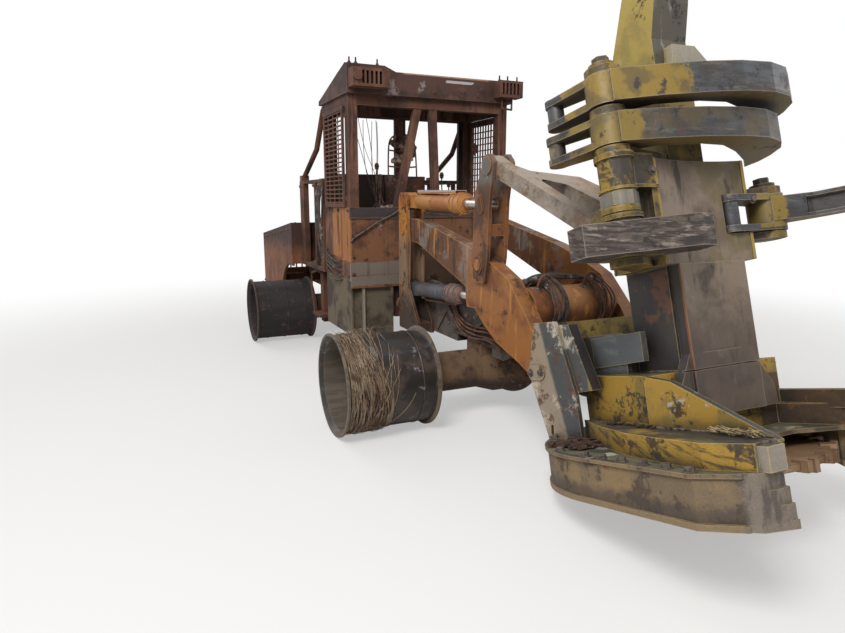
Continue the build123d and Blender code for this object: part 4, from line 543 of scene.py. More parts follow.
        (("patches", 220, 0.46, 0.60), "3a302c", 0.9, 0.88),
        (("flakes", 180, 0.60, 0.64), "a8a098", 0.85, 0.65),
        (("flakes", 150, 0.54, 0.61), "6b5a4d", 0.85, 0.75),
        (("runs", 120, 0.57, 0.70), "5a3626", 0.75, 0.85),
        (("occlusion_shade", 180, 0.28, 0.56), "211a17", 0.85, 0.85),
        (("edge", 10, 0.04, 0.13), "8b7a69", 0.8, 0.65)]),
    # Cast engine block, burnt dry: brown rust over black
    "Burnt_engine_casting": ("3c2f2a", 0.88, 0.0, 6, 1.0, [
        (("patches", 200, 0.44, 0.58), "241d1b", 0.9, 0.9),
        (("flakes", 110, 0.54, 0.63), "664634", 0.85, 0.85),
        (("edge", 8, 0.05, 0.15), "7c6050", 0.75, 0.75)]),
    # Braid left when a hose burns: stiff grey wire with white ash
    "Ash_crusted_wire_braid": ("4d4642", 0.8, 0.2, 3, 1.2, [
        (("flakes", 45, 0.48, 0.58), "2b2422", 0.9, 0.9),
        (("flakes", 80, 0.56, 0.64), "a9a29a", 0.85, 0.85),
        (("patches", 160, 0.55, 0.66), "6b4230", 0.8, 0.85)]),
    # Brass-plated bead wire after a fire, straw coloured
    "Straw_tinted_bead_wire": ("bead_straw", 0.5, 0.3, 6, 0.0, [
        (("flakes", 90, 0.46, 0.58), "7a6650", 0.85, 0.6, 0.2),
        (("patches", 120, 0.55, 0.66), "493a2f", 0.85, 0.7)]),
    # Thin spring and guard wire, rusted through
    "Rusted_spring_wire": ("6e4a38", 0.8, 0.1, 4, 0.2, [
        (("flakes", 60, 0.48, 0.58), "33221c", 0.9, 0.85)]),
    # Zinc-plated bolts, burnt grey with rust in the corners
    "Burnt_zinc_bolt_steel": ("655b52", 0.55, 0.4, 3, 0.4, [
        (("flakes", 30, 0.48, 0.58), "3b2d26", 0.85, 0.8),
        (("edge", 3, 0.05, 0.15), "a0968a", 0.8, 0.4, 0.5)]),
    # Arc weld metal, rippled and rust-brown
    "Rippled_weld_metal": ("6b584a", 0.6, 0.3, 3, 0.4, [
        (("flakes", 40, 0.50, 0.60), "3a2b24", 0.85, 0.8)]),
    # Seat foam crust: orange-white char
    "Charred_seat_foam": ("9a8474", 0.95, 0.0, 5, 2.5, [
        (("flakes", 60, 0.46, 0.56), "4a342c", 0.9, 0.95),
        (("patches", 90, 0.52, 0.62), "c0a48c", 0.85, 0.95)]),
    # Loose bark and wood chips, dry
    "Dry_bark": ("bark", 0.95, 0.0, 5, 1.5, [
        (("streaks", 30, 0.45, 0.58), "2b1c16", 0.9, 0.95),
        (("flakes", 50, 0.56, 0.64), "7b6450", 0.85, 0.9)]),
    # Dry straw and leaf stalks
    "Dry_straw": ("a3916c", 0.85, 0.0, 6, 0.0, [
        (("patches", 60, 0.46, 0.58), "5e4c38", 0.9, 0.9)]),
}

NODE_FINISH = {
    "Tower_orange_paint": ("boom_towers",),
    "Lift_arm_orange_paint": ("lift_arms",),
    "Lever_scorched_orange_paint": ("tilt_lever",),
    "Cylinder_orange_paint": ("tilt_barrel",),
    "Fire_blued_cylinder_steel": ("lift_barrels",),
    "Dusty_primer_casting": ("tilt_link",),
    "Burnt_rusted_plate": ("rear_frame", "limb_risers", "engine_hood", "rear_door_hinges", "rear_grille_door",
                           "access_steps", "seat_and_console"),
    "Red_rusted_cab_steel": ("cab_frame", "roof_lamp_boxes", "right_window_guard", "cab_door_hinges", "cab_door"),
    "Ash_streaked_roof_sheet": ("cab_roof",),
    "Fire_browned_cab_panel": ("cab_base",),
    "Mud_dusted_tank_steel": ("side_tanks",),
    "Heat_faded_orange_plate": ("rear_enclosure",),
    "Grimed_yellow_enamel": ("saw_housing",),
    "Log_rubbed_yellow_enamel": ("head_base",),
    "Worn_spine_enamel": ("head_spine",),
    "Greased_yellow_enamel": ("pivot_brackets",),
    "Stem_rubbed_horn_enamel": ("horn",),
    "Bark_worn_arm_steel": ("arm_lower_left", "arm_middle_right", "arm_upper_right"),
    "Charred_arm_casting": ("arm_lower_right",),
    "Sap_stained_wear_plate": ("trunk_plate_lower", "trunk_plate_upper"),
    "Carbonised_rim_steel": ("wheel_front_right", "wheel_front_left"),
    "Rust_bloomed_rim_steel": ("wheel_rear_right", "wheel_rear_left"),
    "Heat_tinted_chrome": ("lift_rods", "tilt_rod"),
    "Rust_bloomed_saw_steel": ("saw_disc",),
    "Mud_caked_axle_casting": ("front_axle", "rear_axle"),
    "Sooted_frame_plate": ("front_frame",),
    "Burnt_engine_casting": ("engine",),
}


def finish(name):
    """The named finish, made once."""
    found = bpy.data.materials.get(name)
    return found or surface(name, *FINISHES[name])


# Making pieces
def piece(shape, name, body, finish_name, sharp_deg=40.0):
    """Turns a finished mesh into a named piece that rides on a body."""
    mesh = bpy.data.meshes.new(name)
    shape.to_mesh(mesh)
    shape.free()
    mesh.shade_smooth()
    mesh.set_sharp_from_angle(angle=math.radians(sharp_deg))
    mesh.materials.append(finish(finish_name))
    made = bpy.data.objects.new(name, mesh)
    bpy.context.collection.objects.link(made)
    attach(made, body)
    return made


def rods(name, runs, diameter, body, finish_name, ring=False, sides=2):
    """Round wires, pipes or hose braid: one smooth curve for each run of points."""
    curve = bpy.data.curves.new(name, "CURVE")
    curve.dimensions = "3D"
    curve.bevel_depth = diameter / 2
    curve.bevel_resolution = sides
    curve.resolution_u = 5
    curve.use_fill_caps = True
    for run in runs:
        spline = curve.splines.new("NURBS")
        spline.points.add(len(run) - 1)
        for point, at in zip(spline.points, run):
            point.co = (*at, 1.0)
        spline.use_cyclic_u = ring
        spline.order_u = 3
        spline.use_endpoint_u = not ring
    curve.materials.append(finish(finish_name))
    made = bpy.data.objects.new(name, curve)
    bpy.context.collection.objects.link(made)
    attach(made, body)
    return made


def turned(at, along):
    """Placement at a point with Z along a direction."""
    return Matrix.Translation(at) @ along.to_track_quat("Z", "Y").to_matrix().to_4x4()


def bolt(shape, at, along, across, sides=6):
    """Hexagon head with a chamfered top on a round washer, standing on a face."""
    tall = across * 0.62
    for low_r, high_r, low, high, count in ((0.80, 0.80, -0.1, 0.18, 18), (0.577, 0.577, 0.18, 0.84, sides),
                                            (0.577, 0.45, 0.84, 1.0, sides)):
        place = turned(at + along * tall * (low + high) / 2, along)
        bmesh.ops.create_cone(shape, cap_ends=True, segments=count, radius1=low_r * across,
                              radius2=high_r * across, depth=(high - low) * tall, matrix=place)


def pipe_end(shape, at, along, radius, length):
    """Hose fitting: a hexagon nut, a crimped ferrule and its lip."""
    for low_r, low, high, count in ((1.5, 0.0, 0.25, 6), (1.15, 0.25, 0.36, 16), (1.35, 0.36, 0.92, 16),
                                    (1.15, 0.92, 1.0, 16)):
        place = turned(at + along * length * (low + high) / 2, along)
        bmesh.ops.create_cone(shape, cap_ends=True, segments=count, radius1=low_r * radius,
                              radius2=low_r * radius, depth=(high - low) * length, matrix=place)


def bead(shape, start, end, width, draw):
    """Weld bead: overlapping flattened ripples along a seam."""
    run = end - start
    count = max(3, int(run.length / (width * 0.5)))
    for k in range(count + 1):
        size = width * draw.uniform(0.48, 0.6)
        at = start + run * (k / count) + Vector([draw.uniform(-0.06, 0.06) * width for _ in range(3)])
        bmesh.ops.create_icosphere(shape, subdivisions=2, radius=size, matrix=Matrix.Translation(at))


def chip(shape, at, length, draw):
    """Bark chip: a thin torn slab, curled along its length."""
    turn = Matrix.Rotation(draw.uniform(0, 6.28), 4, "Z") @ Matrix.Rotation(draw.uniform(-0.35, 0.35), 4, "X")
    made = bmesh.ops.create_grid(shape, x_segments=5, y_segments=2, size=0.5)["verts"]
    width = length * draw.uniform(0.25, 0.5)
    curl = draw.uniform(0.2, 0.7)
    for vert in made:
        along, across = vert.co.x, vert.co.y
        vert.co = Vector((along * length * (1 - 0.3 * abs(across)), across * width * draw.uniform(0.75, 1.1),
                          curl * length * (0.25 - along * along) * 0.6 + draw.uniform(0, 0.03) * length))
    faces = list({face for vert in made for face in vert.link_faces})
    solid = bmesh.ops.solidify(shape, geom=faces, thickness=length * 0.09)["geom"]
    every = {item for item in solid if isinstance(item, bmesh.types.BMVert)} | set(made)
    place = Matrix.Translation(at) @ HEAD_PLACE.to_3x3().to_4x4() @ turn
    bmesh.ops.transform(shape, matrix=place, verts=list(every))


class FELLER_OT_finishes(bpy.types.Operator):
    """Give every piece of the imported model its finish"""
    bl_idname = "feller.finishes"
    bl_label = "Finishes"

    def execute(self, context):
        for name, nodes in NODE_FINISH.items():
            for node in nodes:
                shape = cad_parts[node]
                shape.data.materials.clear()
                shape.data.materials.append(finish(name))
        return {"FINISHED"}


class FELLER_OT_roof_studs(bpy.types.Operator):
    """Bare studs that held the roof lamps, and the bolts round the cab"""
    bl_idname = "feller.roof_studs"
    bl_label = "Roof studs"

    def execute(self, context):
        shape = bmesh.new()
        up = Vector((0, 0, 1))
        spots = [(-1375, y, 2810) for y in (-805, -745, -545)] + [(-1275, y, 2750) for y in (655, 745, 850)]
        for x, y, z in spots:
            bolt(shape, machine(x, y, z), up, 0.024)
            bmesh.ops.create_cone(shape, cap_ends=True, segments=10, radius1=0.008, radius2=0.007, depth=0.05,
                                  matrix=Matrix.Translation(machine(x, y, z + 25)))
        ahead = Vector((1, 0, 0))
        for y in (-790, 790):
            for z in (960, 1120, 1280, 1440):
                bolt(shape, machine(-1399, y, z), ahead, 0.022)
        for y in (-780, -620, 0, 460, 790):
            bolt(shape, machine(-1339, y, 2610), ahead, 0.024)
        right = Vector((0, -1, 0))
        for x in (-2140, -2050, -1750, -1450):
            for z in (1545, 940):
                bolt(shape, machine(x, -819, z), right, 0.022)
        piece(shape, "roof_studs", "rear", "Burnt_rusted_plate")
        return {"FINISHED"}


class FELLER_OT_cab_remains(bpy.types.Operator):
    """What fire left in the cab: seat wire and foam crust, levers and hanging cable cores"""
    bl_idname = "feller.cab_remains"
    bl_label = "Cab remains"

    def execute(self, context):
        draw = random.Random(11)
        frame = [[machine(-2030, -190, 1840), machine(-2026, -195, 2120), machine(-2022, -170, 2280),
                  machine(-2022, -20, 2300), machine(-2022, 90, 2270), machine(-2026, 120, 2100),
                  machine(-2030, 130, 1840)],
                 [machine(-2024, -186, 2140), machine(-2005, -30, 2120), machine(-2024, 116, 2140)],
                 [machine(-2026, -190, 1980), machine(-2005, -30, 1960), machine(-2028, 122, 1980)]]
        rods("seat_top_frame", frame, 0.016, "rear", "Rusted_spring_wire")
        springs = []
        for k in range(6):
            y = -185 + k * 72
            low, high = (1430, 1860) if k % 2 else (1400, 1830)
            springs.append([machine(-2012 + draw.uniform(-4, 6), y + (26 if j % 2 else -26), low + j * 34)
                            for j in range(int((high - low) / 34))])
        rods("seat_back_springs", springs, 0.006, "rear", "Rusted_spring_wire")
        coils = []
        for x in (-1930, -1830, -1730, -1640):
            for y in (-150, -50, 50, 150):
                tall, lean = draw.uniform(70, 120), draw.uniform(-14, 14)
                coils.append([machine(x + 32 * math.cos(j * 1.05) + lean * j / 30, y + 32 * math.sin(j * 1.05),
                                      1352 + tall * j / 30) for j in range(31)])
        rods("seat_pan_springs", coils, 0.005, "rear", "Rusted_spring_wire", sides=1)
        shape = bmesh.new()
        for k in range(34):
            at = machine(-2008 + draw.uniform(-8, 8), draw.uniform(-165, 90), draw.uniform(2030, 2285))
            size = draw.uniform(0.016, 0.034)
            verts = bmesh.ops.create_icosphere(shape, subdivisions=2, radius=size,
                                               matrix=Matrix.Translation(at) @ Matrix.Diagonal((0.5, 1, 1, 1)))
            for vert in verts["verts"]:
                vert.co += Vector([draw.uniform(-0.2, 0.2) * size for _ in range(3)])
        for k in range(22):
            at = machine(draw.uniform(-1700, -1560), draw.uniform(-415, -275), 1550 + draw.uniform(6, 30))
            bmesh.ops.create_icosphere(shape, subdivisions=2, radius=draw.uniform(0.012, 0.026),
                                       matrix=Matrix.Translation(at))
        crust = piece(shape, "seat_foam_crust", "rear", "Charred_seat_foam", 180.0)
        stalks, shape = [], bmesh.new()
        for x, y, top, lean in ((-1850, -395, 1935, 30), (-1840, -350, 1830, -10), (-1800, -375, 1760, 16),
                                (-1850, 345, 1860, -24), (-1790, 380, 1770, 10)):
            stalks.append([machine(x, y, 1545), machine(x, y, 1600), machine(x + lean, y, top - 60),
                           machine(x + lean, y, top)])
            for radius, low, high in ((0.020, 0.0, 0.022), (0.024, 0.02, 0.05), (0.016, 0.048, 0.062)):
                bmesh.ops.create_cone(shape, cap_ends=True, segments=16, radius1=radius, radius2=radius * 0.85,
                                      depth=high - low, matrix=Matrix.Translation(
                                          machine(x + lean, y, top) + Vector((0, 0, (low + high) / 2))))
            bmesh.ops.create_cone(shape, cap_ends=True, segments=14, radius1=0.045, radius2=0.016, depth=0.06,
                                  matrix=Matrix.Translation(machine(x, y, 1578)))
        rods("control_levers", stalks, 0.014, "rear", "Rusted_spring_wire")
        piece(shape, "lever_knobs", "rear", "Burnt_engine_casting")
        lines = []
        for k in range(7):
            y, sag = draw.uniform(-560, -250), draw.uniform(120, 330)
            end = machine(-1860 + draw.uniform(-60, 160), -345 + draw.uniform(-60, 60), 1556)
            start = machine(-2150, y, draw.uniform(2420, 2480))
            middle = (start + end) / 2 + Vector((draw.uniform(-0.05, 0.05), draw.uniform(-0.05, 0.05), -sag * MM))
            lines.append([start, start.lerp(middle, 0.5) + Vector((0, draw.uniform(-0.05, 0.05), 0)), middle,
                          middle.lerp(end, 0.6), end])
        rods("cab_cable_cores", lines, 0.006, "rear", "Ash_crusted_wire_braid", sides=1)
        return {"FINISHED"}


class FELLER_OT_burnt_lines(bpy.types.Operator):
    """Bent rod across the cab front and the burnt hose braid behind the cab"""
    bl_idname = "feller.burnt_lines"
    bl_label = "Burnt lines"

    def execute(self, context):
        hose = context.scene.feller_sizes.hose
        rods("cab_front_rod", [[machine(-1392, -815, 1260), machine(-1374, -800, 1300), machine(-1374, -700, 1350),
                                machine(-1374, -560, 1440), machine(-1374, -420, 1500), machine(-1374, -350, 1545),
                                machine(-1392, -330, 1560)]], 0.018, "rear", "Burnt_zinc_bolt_steel")
        draw = random.Random(23)
        runs = []
        for k in range(8):
            x = -2250 - 24 * k
            runs.append([machine(x, -800, 1835), machine(x + draw.uniform(-20, 20), -842, 1780),
                         machine(x + draw.uniform(-90, 60), -850, 1560 + draw.uniform(-60, 60)),
                         machine(x + draw.uniform(-60, 160), -846, 1260 + draw.uniform(-60, 60)),
                         machine(x + draw.uniform(-40, 90), -830, 1040), machine(x + 20, -790, 945)])
        rods("rear_hose_braid", runs, hose * 0.8, "rear", "Ash_crusted_wire_braid")
        runs = []
        for k in range(5):
            z = 1130 - 46 * k
            runs.append([machine(-2195, -770 + 20 * k, z), machine(-2150, -850, z + 20),
                         machine(-1980 + draw.uniform(-30, 30), -858, z - 30 + draw.uniform(-20, 20)),
                         machine(-1800, -850, z - 70 + draw.uniform(-30, 30)),
                         machine(-1660 + draw.uniform(-40, 20), -838, z - 60), machine(-1650, -815, z - 64)])
        rods("cab_side_hose_braid", runs, hose * 0.7, "rear", "Ash_crusted_wire_braid")
        shape = bmesh.new()
        for k in range(8):
            pipe_end(shape, machine(-2250 - 24 * k, -798, 1850), Vector((0, -0.5, -1)).normalized(), hose / 2, 0.07)
        piece(shape, "rear_hose_fittings", "rear", "Burnt_zinc_bolt_steel")
        return {"FINISHED"}


class FELLER_OT_engine_lines(bpy.types.Operator):
    """Injector pipes, manifold stubs, belt wheels and looms on the engine"""
    bl_idname = "feller.engine_lines"
    bl_label = "Engine lines"

    def execute(self, context):
        draw = random.Random(31)
        pipes, low = [], SUMP_Z
        for k in range(6):
            x = -4240 + k * 150
            pipes.append([machine(x, 232, low + 436), machine(x, 215, low + 520), machine(x + 20, 170, low + 590),
                          machine(x + 30, 120, low + 625), machine(x + 30, 60, low + 628)])
        rods("injector_pipes", pipes, 0.010, "rear", "Rusted_spring_wire")
        stubs, shape = [], bmesh.new()
        for k in range(6):
            x = -4190 + k * 118
            stubs.append([machine(x, -148, low + 500), machine(x, -200, low + 508), machine(x + 10, -226, low + 500)])
            bolt(shape, machine(x + 55, -149, low + 530), Vector((0, -1, 0)), 0.024)
            bolt(shape, machine(x + 40, 0, low + 619), Vector((0, 0, 1)), 0.026)
            for side in (-1, 1):
                bolt(shape, machine(x, side * 249, low + 400), Vector((0, side, 0)), 0.026)
        rods("manifold_stubs", stubs, 0.062, "rear", "Burnt_engine_casting")
        for y, z, radius in ((0, 250, 0.092), (-150, 380, 0.062), (140, 400, 0.055)):
            for depth, share in ((0.012, 1.0), (0.03, 0.82), (0.046, 1.0)):
                bmesh.ops.create_cone(shape, cap_ends=True, segments=28, radius1=radius * share,
                                      radius2=radius * share, depth=0.012,
                                      matrix=turned(machine(-4416 - depth * 1000, y, low + z), Vector((1, 0, 0))))
        piece(shape, "engine_fittings", "rear", "Burnt_engine_casting")
        loops = []
        for k in range(6):
            x0, side = draw.uniform(-4250, -3500), draw.choice((-1, 1))
            loops.append([machine(x0, side * 240, low + 300), machine(x0 + 60, side * 300, low + 380),
                          machine(x0 + 160, side * 320, low + 260 + draw.uniform(-40, 40)),
                          machine(x0 + 250, side * 300, low + 340), machine(x0 + 300, side * 245, low + 330)])
        rods("engine_hose_braid", loops, 0.018, "rear", "Ash_crusted_wire_braid")
        return {"FINISHED"}


class FELLER_OT_wheel_wires(bpy.types.Operator):
    """Bead wire left round the right front rim when its tyre burnt"""
    bl_idname = "feller.wheel_wires"
    bl_label = "Bead wire"

    def execute(self, context):
        sizes = context.scene.feller_sizes
        draw = random.Random(47)
        strands = {"straw": [], "dark": []}
        for k in range(sizes.wires * 2):
            share, dark = draw.random() ** 1.3, k % 3 == 2
            radius, whole = draw.uniform(339, 360), k % 2 == 0
            first, sweep = (0.0, 2 * math.pi) if whole else (draw.uniform(-2.0, 1.2), draw.uniform(1.2, 3.4))
            lean, start, wave = draw.uniform(-90, 260), draw.uniform(0, 6.28), draw.uniform(4, 26)
            loose = 0.0 if whole else draw.uniform(0, 46)
            count = 24 if whole else 12
            strand = []
            for j in range(count):
                angle = first + j * sweep / (count if whole else count - 1)
                # The bundle is tight on top and fans out over the drum in front and below
                fan = 90 + 210 * (0.5 + 0.5 * math.cos(angle + 0.55)) ** 1.5
                y = -1396 + share * fan + wave * math.sin(3 * angle + start)
                y += 0.0 if whole else lean * (j / (count - 1)) ** 2
                lift = radius + draw.uniform(-3, 3) + loose * (j / (count - 1)) ** 3
                at = FRONT_WHEEL + Vector((math.cos(angle) * lift, min(max(y, -1398), -760),
                                           math.sin(angle) * lift)) * MM
                strand.append(Vector((at.x, at.y, max(at.z, 0.008))))
            strands["dark" if dark else "straw"].append((whole, strand))
        for colour, name in (("straw", "Straw_tinted_bead_wire"), ("dark", "Rusted_spring_wire")):
            for whole in (True, False):
                rods(f"bead_wire_{colour}_{'turns' if whole else 'ends'}",
                     [strand for is_whole, strand in strands[colour] if is_whole == whole], sizes.wire,
                     "wheel_front_right", name, ring=whole, sides=1)
        return {"FINISHED"}


class FELLER_OT_wheel_nuts(bpy.types.Operator):
    """Wheel nuts and drum ribs on every rim"""
    bl_idname = "feller.wheel_nuts"
    bl_label = "Wheel nuts"

    def execute(self, context):
        for body, side, centre in (("wheel_front_right", -1, FRONT_WHEEL), ("wheel_front_left", 1, FRONT_WHEEL),
                                   ("wheel_rear_right", -1, REAR_WHEEL), ("wheel_rear_left", 1, REAR_WHEEL)):
            shape = bmesh.new()
            out = Vector((0, side, 0))
            for k in range(8):
                angle = math.radians(k * 45 + 22.5)
                at = centre + Vector((0.165 * math.cos(angle), side * 1.011, 0.165 * math.sin(angle)))
                bolt(shape, at, out, 0.034)
            for k in range(3):
                # Rolled ribs round the drum
                rib_y = 870 + 205 * k
                bmesh.ops.create_cone(shape, segments=72, radius1=0.3375, radius2=0.3405, depth=0.007,
                                      matrix=turned(centre + out * (rib_y - 3.5) * MM, out))
                bmesh.ops.create_cone(shape, segments=72, radius1=0.3405, radius2=0.3375, depth=0.007,
                                      matrix=turned(centre + out * (rib_y + 3.5) * MM, out))
            name = "Carbonised_rim_steel" if centre is FRONT_WHEEL else "Rust_bloomed_rim_steel"
            piece(shape, body + "_nuts", body, name)
        return {"FINISHED"}


class FELLER_OT_boom_lines(bpy.types.Operator):
    """Hoops on the cross tube and the burnt hose braid looped round it"""
    bl_idname = "feller.boom_lines"
    bl_label = "Boom lines"

    def execute(self, context):
        hose = context.scene.feller_sizes.hose
        tube = machine(700, 0, 930)

        def round_tube(y, reach_mm, angle):
            return tube + Vector((math.cos(angle) * reach_mm, y, math.sin(angle) * reach_mm)) * MM

        hoops = [[round_tube(y + side * 42, reach, 1.25) for side, reach in
                  ((-1, 146), (-1, 190), (-0.9, 226), (-0.3, 246), (0.3, 246), (0.9, 226), (1, 190), (1, 146))]
                 for y in (-215, 150)]
        rods("cross_tube_hoops", hoops, 0.020, "lift_arms", "Rusted_spring_wire", sides=3)
        shape = bmesh.new()
        for y in (-257, -173, 108, 192):
            bmesh.ops.create_cone(shape, cap_ends=True, segments=24, radius1=0.028, radius2=0.014, depth=0.014,
                                  matrix=turned(round_tube(y, 154, 1.25), Vector((0.315, 0, 0.949))))
        draw = random.Random(59)
        runs = []
        for y, count in ((-160, 9), (215, 10)):
            for k in range(count):
                side = y + draw.uniform(-62, 62)
                swell = draw.uniform(0, 46)
                runs.append([round_tube(side + draw.uniform(-24, 24), 158 + hose * 500 + swell * bulge, angle)
                             for angle, bulge in ((2.9, 0.2), (2.5, 0.3), (2.0, 0.5), (1.5, 0.9), (1.0, 1.0),
                                                  (0.5, 1.0), (0.0, 0.8), (-0.45, 0.6), (-0.9, 0.2))])
        for k in range(3):
            runs.append([round_tube(-318, 160, 1.9), round_tube(-250, 205 + 10 * k, 1.9),
                         round_tube(-110 + 20 * k, 212 + 8 * k, 1.7), round_tube(60, 192 + 8 * k, 1.8),
                         round_tube(200, 205, 1.7), round_tube(318, 165, 1.6)])
        rods("boom_hose_braid", runs[:6] + runs[-3:], hose, "lift_arms", "Ash_crusted_wire_braid")
        rods("boom_bare_strands", runs[6:-3], hose * 0.4, "lift_arms", "Rusted_spring_wire", sides=1)
        for run in runs[-3:]:
            for at, then in ((run[0], run[1]), (run[-1], run[-2])):
                pipe_end(shape, at, (then - at).normalized(), hose / 2, 0.06)
        piece(shape, "cross_tube_fittings", "lift_arms", "Burnt_zinc_bolt_steel")
        return {"FINISHED"}


class FELLER_OT_cylinder_fittings(bpy.types.Operator):
    """Ports, feed pipes and stepped glands of the cylinders, and pipes along the front frame"""
    bl_idname = "feller.cylinder_fittings"
    bl_label = "Cylinder fittings"

    def execute(self, context):
        for body, base, eye, side_y, radius, length in (
                ("tilt_barrel", (-1020, 1630), (350, 1610), -380, 66, 1010),
                ("lift_barrels", (-1035, 860), (170, 950), -380, 62, 960),
                ("lift_barrels", (-1035, 860), (170, 950), 380, 62, 960)):
            start = machine(base[0], side_y, base[1])
            along = (machine(eye[0], side_y, eye[1]) - start).normalized()
            under = Vector((along.z, 0, -along.x))
            shape = bmesh.new()
            # Stepped gland: a lip behind, a groove and a chamfered end collar round the rod
            for at, deep, wide, end in ((-132, 14, 18, 18), (-74, 10, 17, 17), (-1, 22, 6, -4), (10, 12, -10, -16)):
                bmesh.ops.create_cone(shape, cap_ends=True, segments=48, radius1=(radius + wide) * MM,
                                      radius2=(radius + end) * MM, depth=deep * MM,
                                      matrix=turned(start + along * (length + at) * MM, along))
            for reach in (290, length - 60):
                at = start + along * reach * MM + under * (radius + (8 if reach > 500 else -3)) * MM
                bmesh.ops.create_cone(shape, cap_ends=True, segments=20, radius1=0.022, radius2=0.020,
                                      depth=0.03, matrix=turned(at, under))
            name = f"{body}_gland_{'right' if side_y < 0 else 'left'}"
            piece(shape, name, body, "Cylinder_orange_paint" if body == "tilt_barrel" else "Fire_pinked_gland")
            out = under * (radius + 24) * MM
            rods(f"{body}_pipe_{'right' if side_y < 0 else 'left'}",
                 [[start + along * (length - 60) * MM + under * (radius + 10) * MM,
                   start + along * (length - 64) * MM + out, start + along * (length - 110) * MM + out,
                   start + along * 400 * MM + out, start + along * 340 * MM + out,
                   start + along * 320 * MM + under * (radius - 4) * MM]], 0.016, body, "Rusted_spring_wire")
        draw = random.Random(71)
        runs = []
        for k in range(4):
            z, y = 700 - 30 * k, -318 - 4 * k
            runs.append([machine(-300, y + 10, z + 130), machine(-250, y, z + 60), machine(-120, y, z),
                         machine(60, y, z - 6), machine(240, y, z + 20 + draw.uniform(-10, 10)),
                         machine(360, y + 6, z + 8), machine(420, y + 14, z - 10)])
        rods("front_frame_pipes", runs, 0.016, "front", "Rusted_spring_wire")
        shape = bmesh.new()
        for x, z in ((-1000, 620), (-880, 560), (-760, 560), (-560, 700), (-100, 760), (120, 760), (300, 700),
                     (430, 640)):
            for side in (-1, 1):
                bolt(shape, machine(x, side * 300, z), Vector((0, side, 0)), 0.034)
        for k in range(10):
            turn = k * math.pi / 5
            bolt(shape, machine(245, 112 * math.cos(turn), 365 + 112 * math.sin(turn)), Vector((1, 0, 0)), 0.022)
        piece(shape, "front_frame_bolts", "front", "Burnt_zinc_bolt_steel")
        return {"FINISHED"}


class FELLER_OT_panel_bolts(bpy.types.Operator):
    """Bolts along the enclosure, hood and tank edges"""
    bl_idname = "feller.panel_bolts"
    bl_label = "Panel bolts"

    def execute(self, context):
        shape = bmesh.new()
        for side in (-1, 1):
            out = Vector((0, side, 0))
            for k in range(10):
                x = -3200 - 180 * k
                bolt(shape, machine(x, side * 960, HOOD_Z - (k * 180 + 30) * HOOD_FALL / 1752 - 62), out, 0.024)
            for x in (-4900, -4700, -4400, -4150):
                bolt(shape, machine(x, side * 960, 520), out, 0.024)
            for x in (-3140, -2560, -2280):
                bolt(shape, machine(x, side * 840, 1790), out, 0.024)
                bolt(shape, machine(x, side * 840, 980), out, 0.024)
        for y in (-880, 880):
            for x in (-4700, -4200, -3700, -3300):
                drop = (HOOD_X - x) * HOOD_FALL / 1751.7
                bolt(shape, machine(x, y, HOOD_Z - drop), Vector((0, 0, 1)), 0.024)
        piece(shape, "panel_bolts", "rear", "Burnt_zinc_bolt_steel")
        return {"FINISHED"}


class FELLER_OT_head_bolts(bpy.types.Operator):
    """Bolts round the saw housing's flange and on the head's keepers and caps"""
    bl_idname = "feller.head_bolts"
    bl_label = "Head bolts"

    def execute(self, context):
        across = context.scene.feller_sizes.bolt
        shape = bmesh.new()
        for side in (-1, 1):
            for x in (840, 960, 1090, 1220, 1350, 1470):
                bolt(shape, head(x, side * 728, 215), HEAD_UP, across)
            for k in range(5):
                turn = math.radians(105 + 17 * k)
                bolt(shape, head(800 + 728 * math.cos(turn), side * 728 * math.sin(turn), 215), HEAD_UP, across)
            for x, y in ((1690, 530), (1690, 575)):
                bolt(shape, head(x, side * y, 311), HEAD_UP, across * 0.7)
            out = Vector((0, side, 0))
            for x, z in ((80, 603), (185, 603)):
                bolt(shape, head(x, side * 471, z), out, 0.03)
            for x, z in ((560, 650), (560, 725), (840, 660), (840, 735)):
                bolt(shape, head(x, side * 313, z), out, 0.026)
        for side, low in ((-1, 1474), (1, 1330)):
            bolt(shape, head(1114, side * 330, low + 60), HEAD_AHEAD, 0.028)
        piece(shape, "head_bolts", "head", "Burnt_zinc_bolt_steel")
        return {"FINISHED"}


class FELLER_OT_head_welds(bpy.types.Operator):
    """Weld beads on the plates, gusset, pedestal and spine"""
    bl_idname = "feller.head_welds"
    bl_label = "Head welds"

    def execute(self, context):
        width = context.scene.feller_sizes.weld
        draw = random.Random(83)
        shape = bmesh.new()
        front = 1070
        for start, end in (((front - 1, -200, 560), (front - 1, 200, 560)),
                           ((front - 44, -436, 322), (front - 44, -436, 556)),
                           ((1040, -466, 322), (1640, -466, 322)), ((1040, 466, 322), (1600, 466, 322)),
                           ((870, -402, 322), (1020, -438, 322)), ((870, 402, 322), (1020, 438, 322)),
                           ((400, -330, 216), (870, -402, 217)), ((400, 330, 216), (870, 402, 217)),
                           ((755, -241, 562), (1020, -241, 562)), ((755, 241, 562), (1020, 241, 562)),
                           ((755, -313, 1084), (755, -313, 1590)), ((755, 313, 1084), (755, 313, 1590)),
                           ((800, -121, 1603), (1020, -121, 1603)), ((800, 121, 1603), (1020, 121, 1603)),
                           ((720, -121, 2053), (1020, -121, 2053)), ((720, 121, 2053), (1020, 121, 2053)),
                           ((180, -462, 217), (470, -462, 217)), ((180, 462, 217), (470, 462, 217))):
            bead(shape, head(*start), head(*end), width, draw)
        piece(shape, "head_welds", "head", "Rippled_weld_metal", 180.0)
        shape = bmesh.new()
        for side in (-1, 1):
            for x, z0, z1 in ((-1078, 592, 640), (-742, 592, 596)):
                bead(shape, machine(x, side * 295, z0), machine(x, side * 295, z1), width, draw)
        piece(shape, "tower_welds", "front", "Rippled_weld_metal", 180.0)
        return {"FINISHED"}


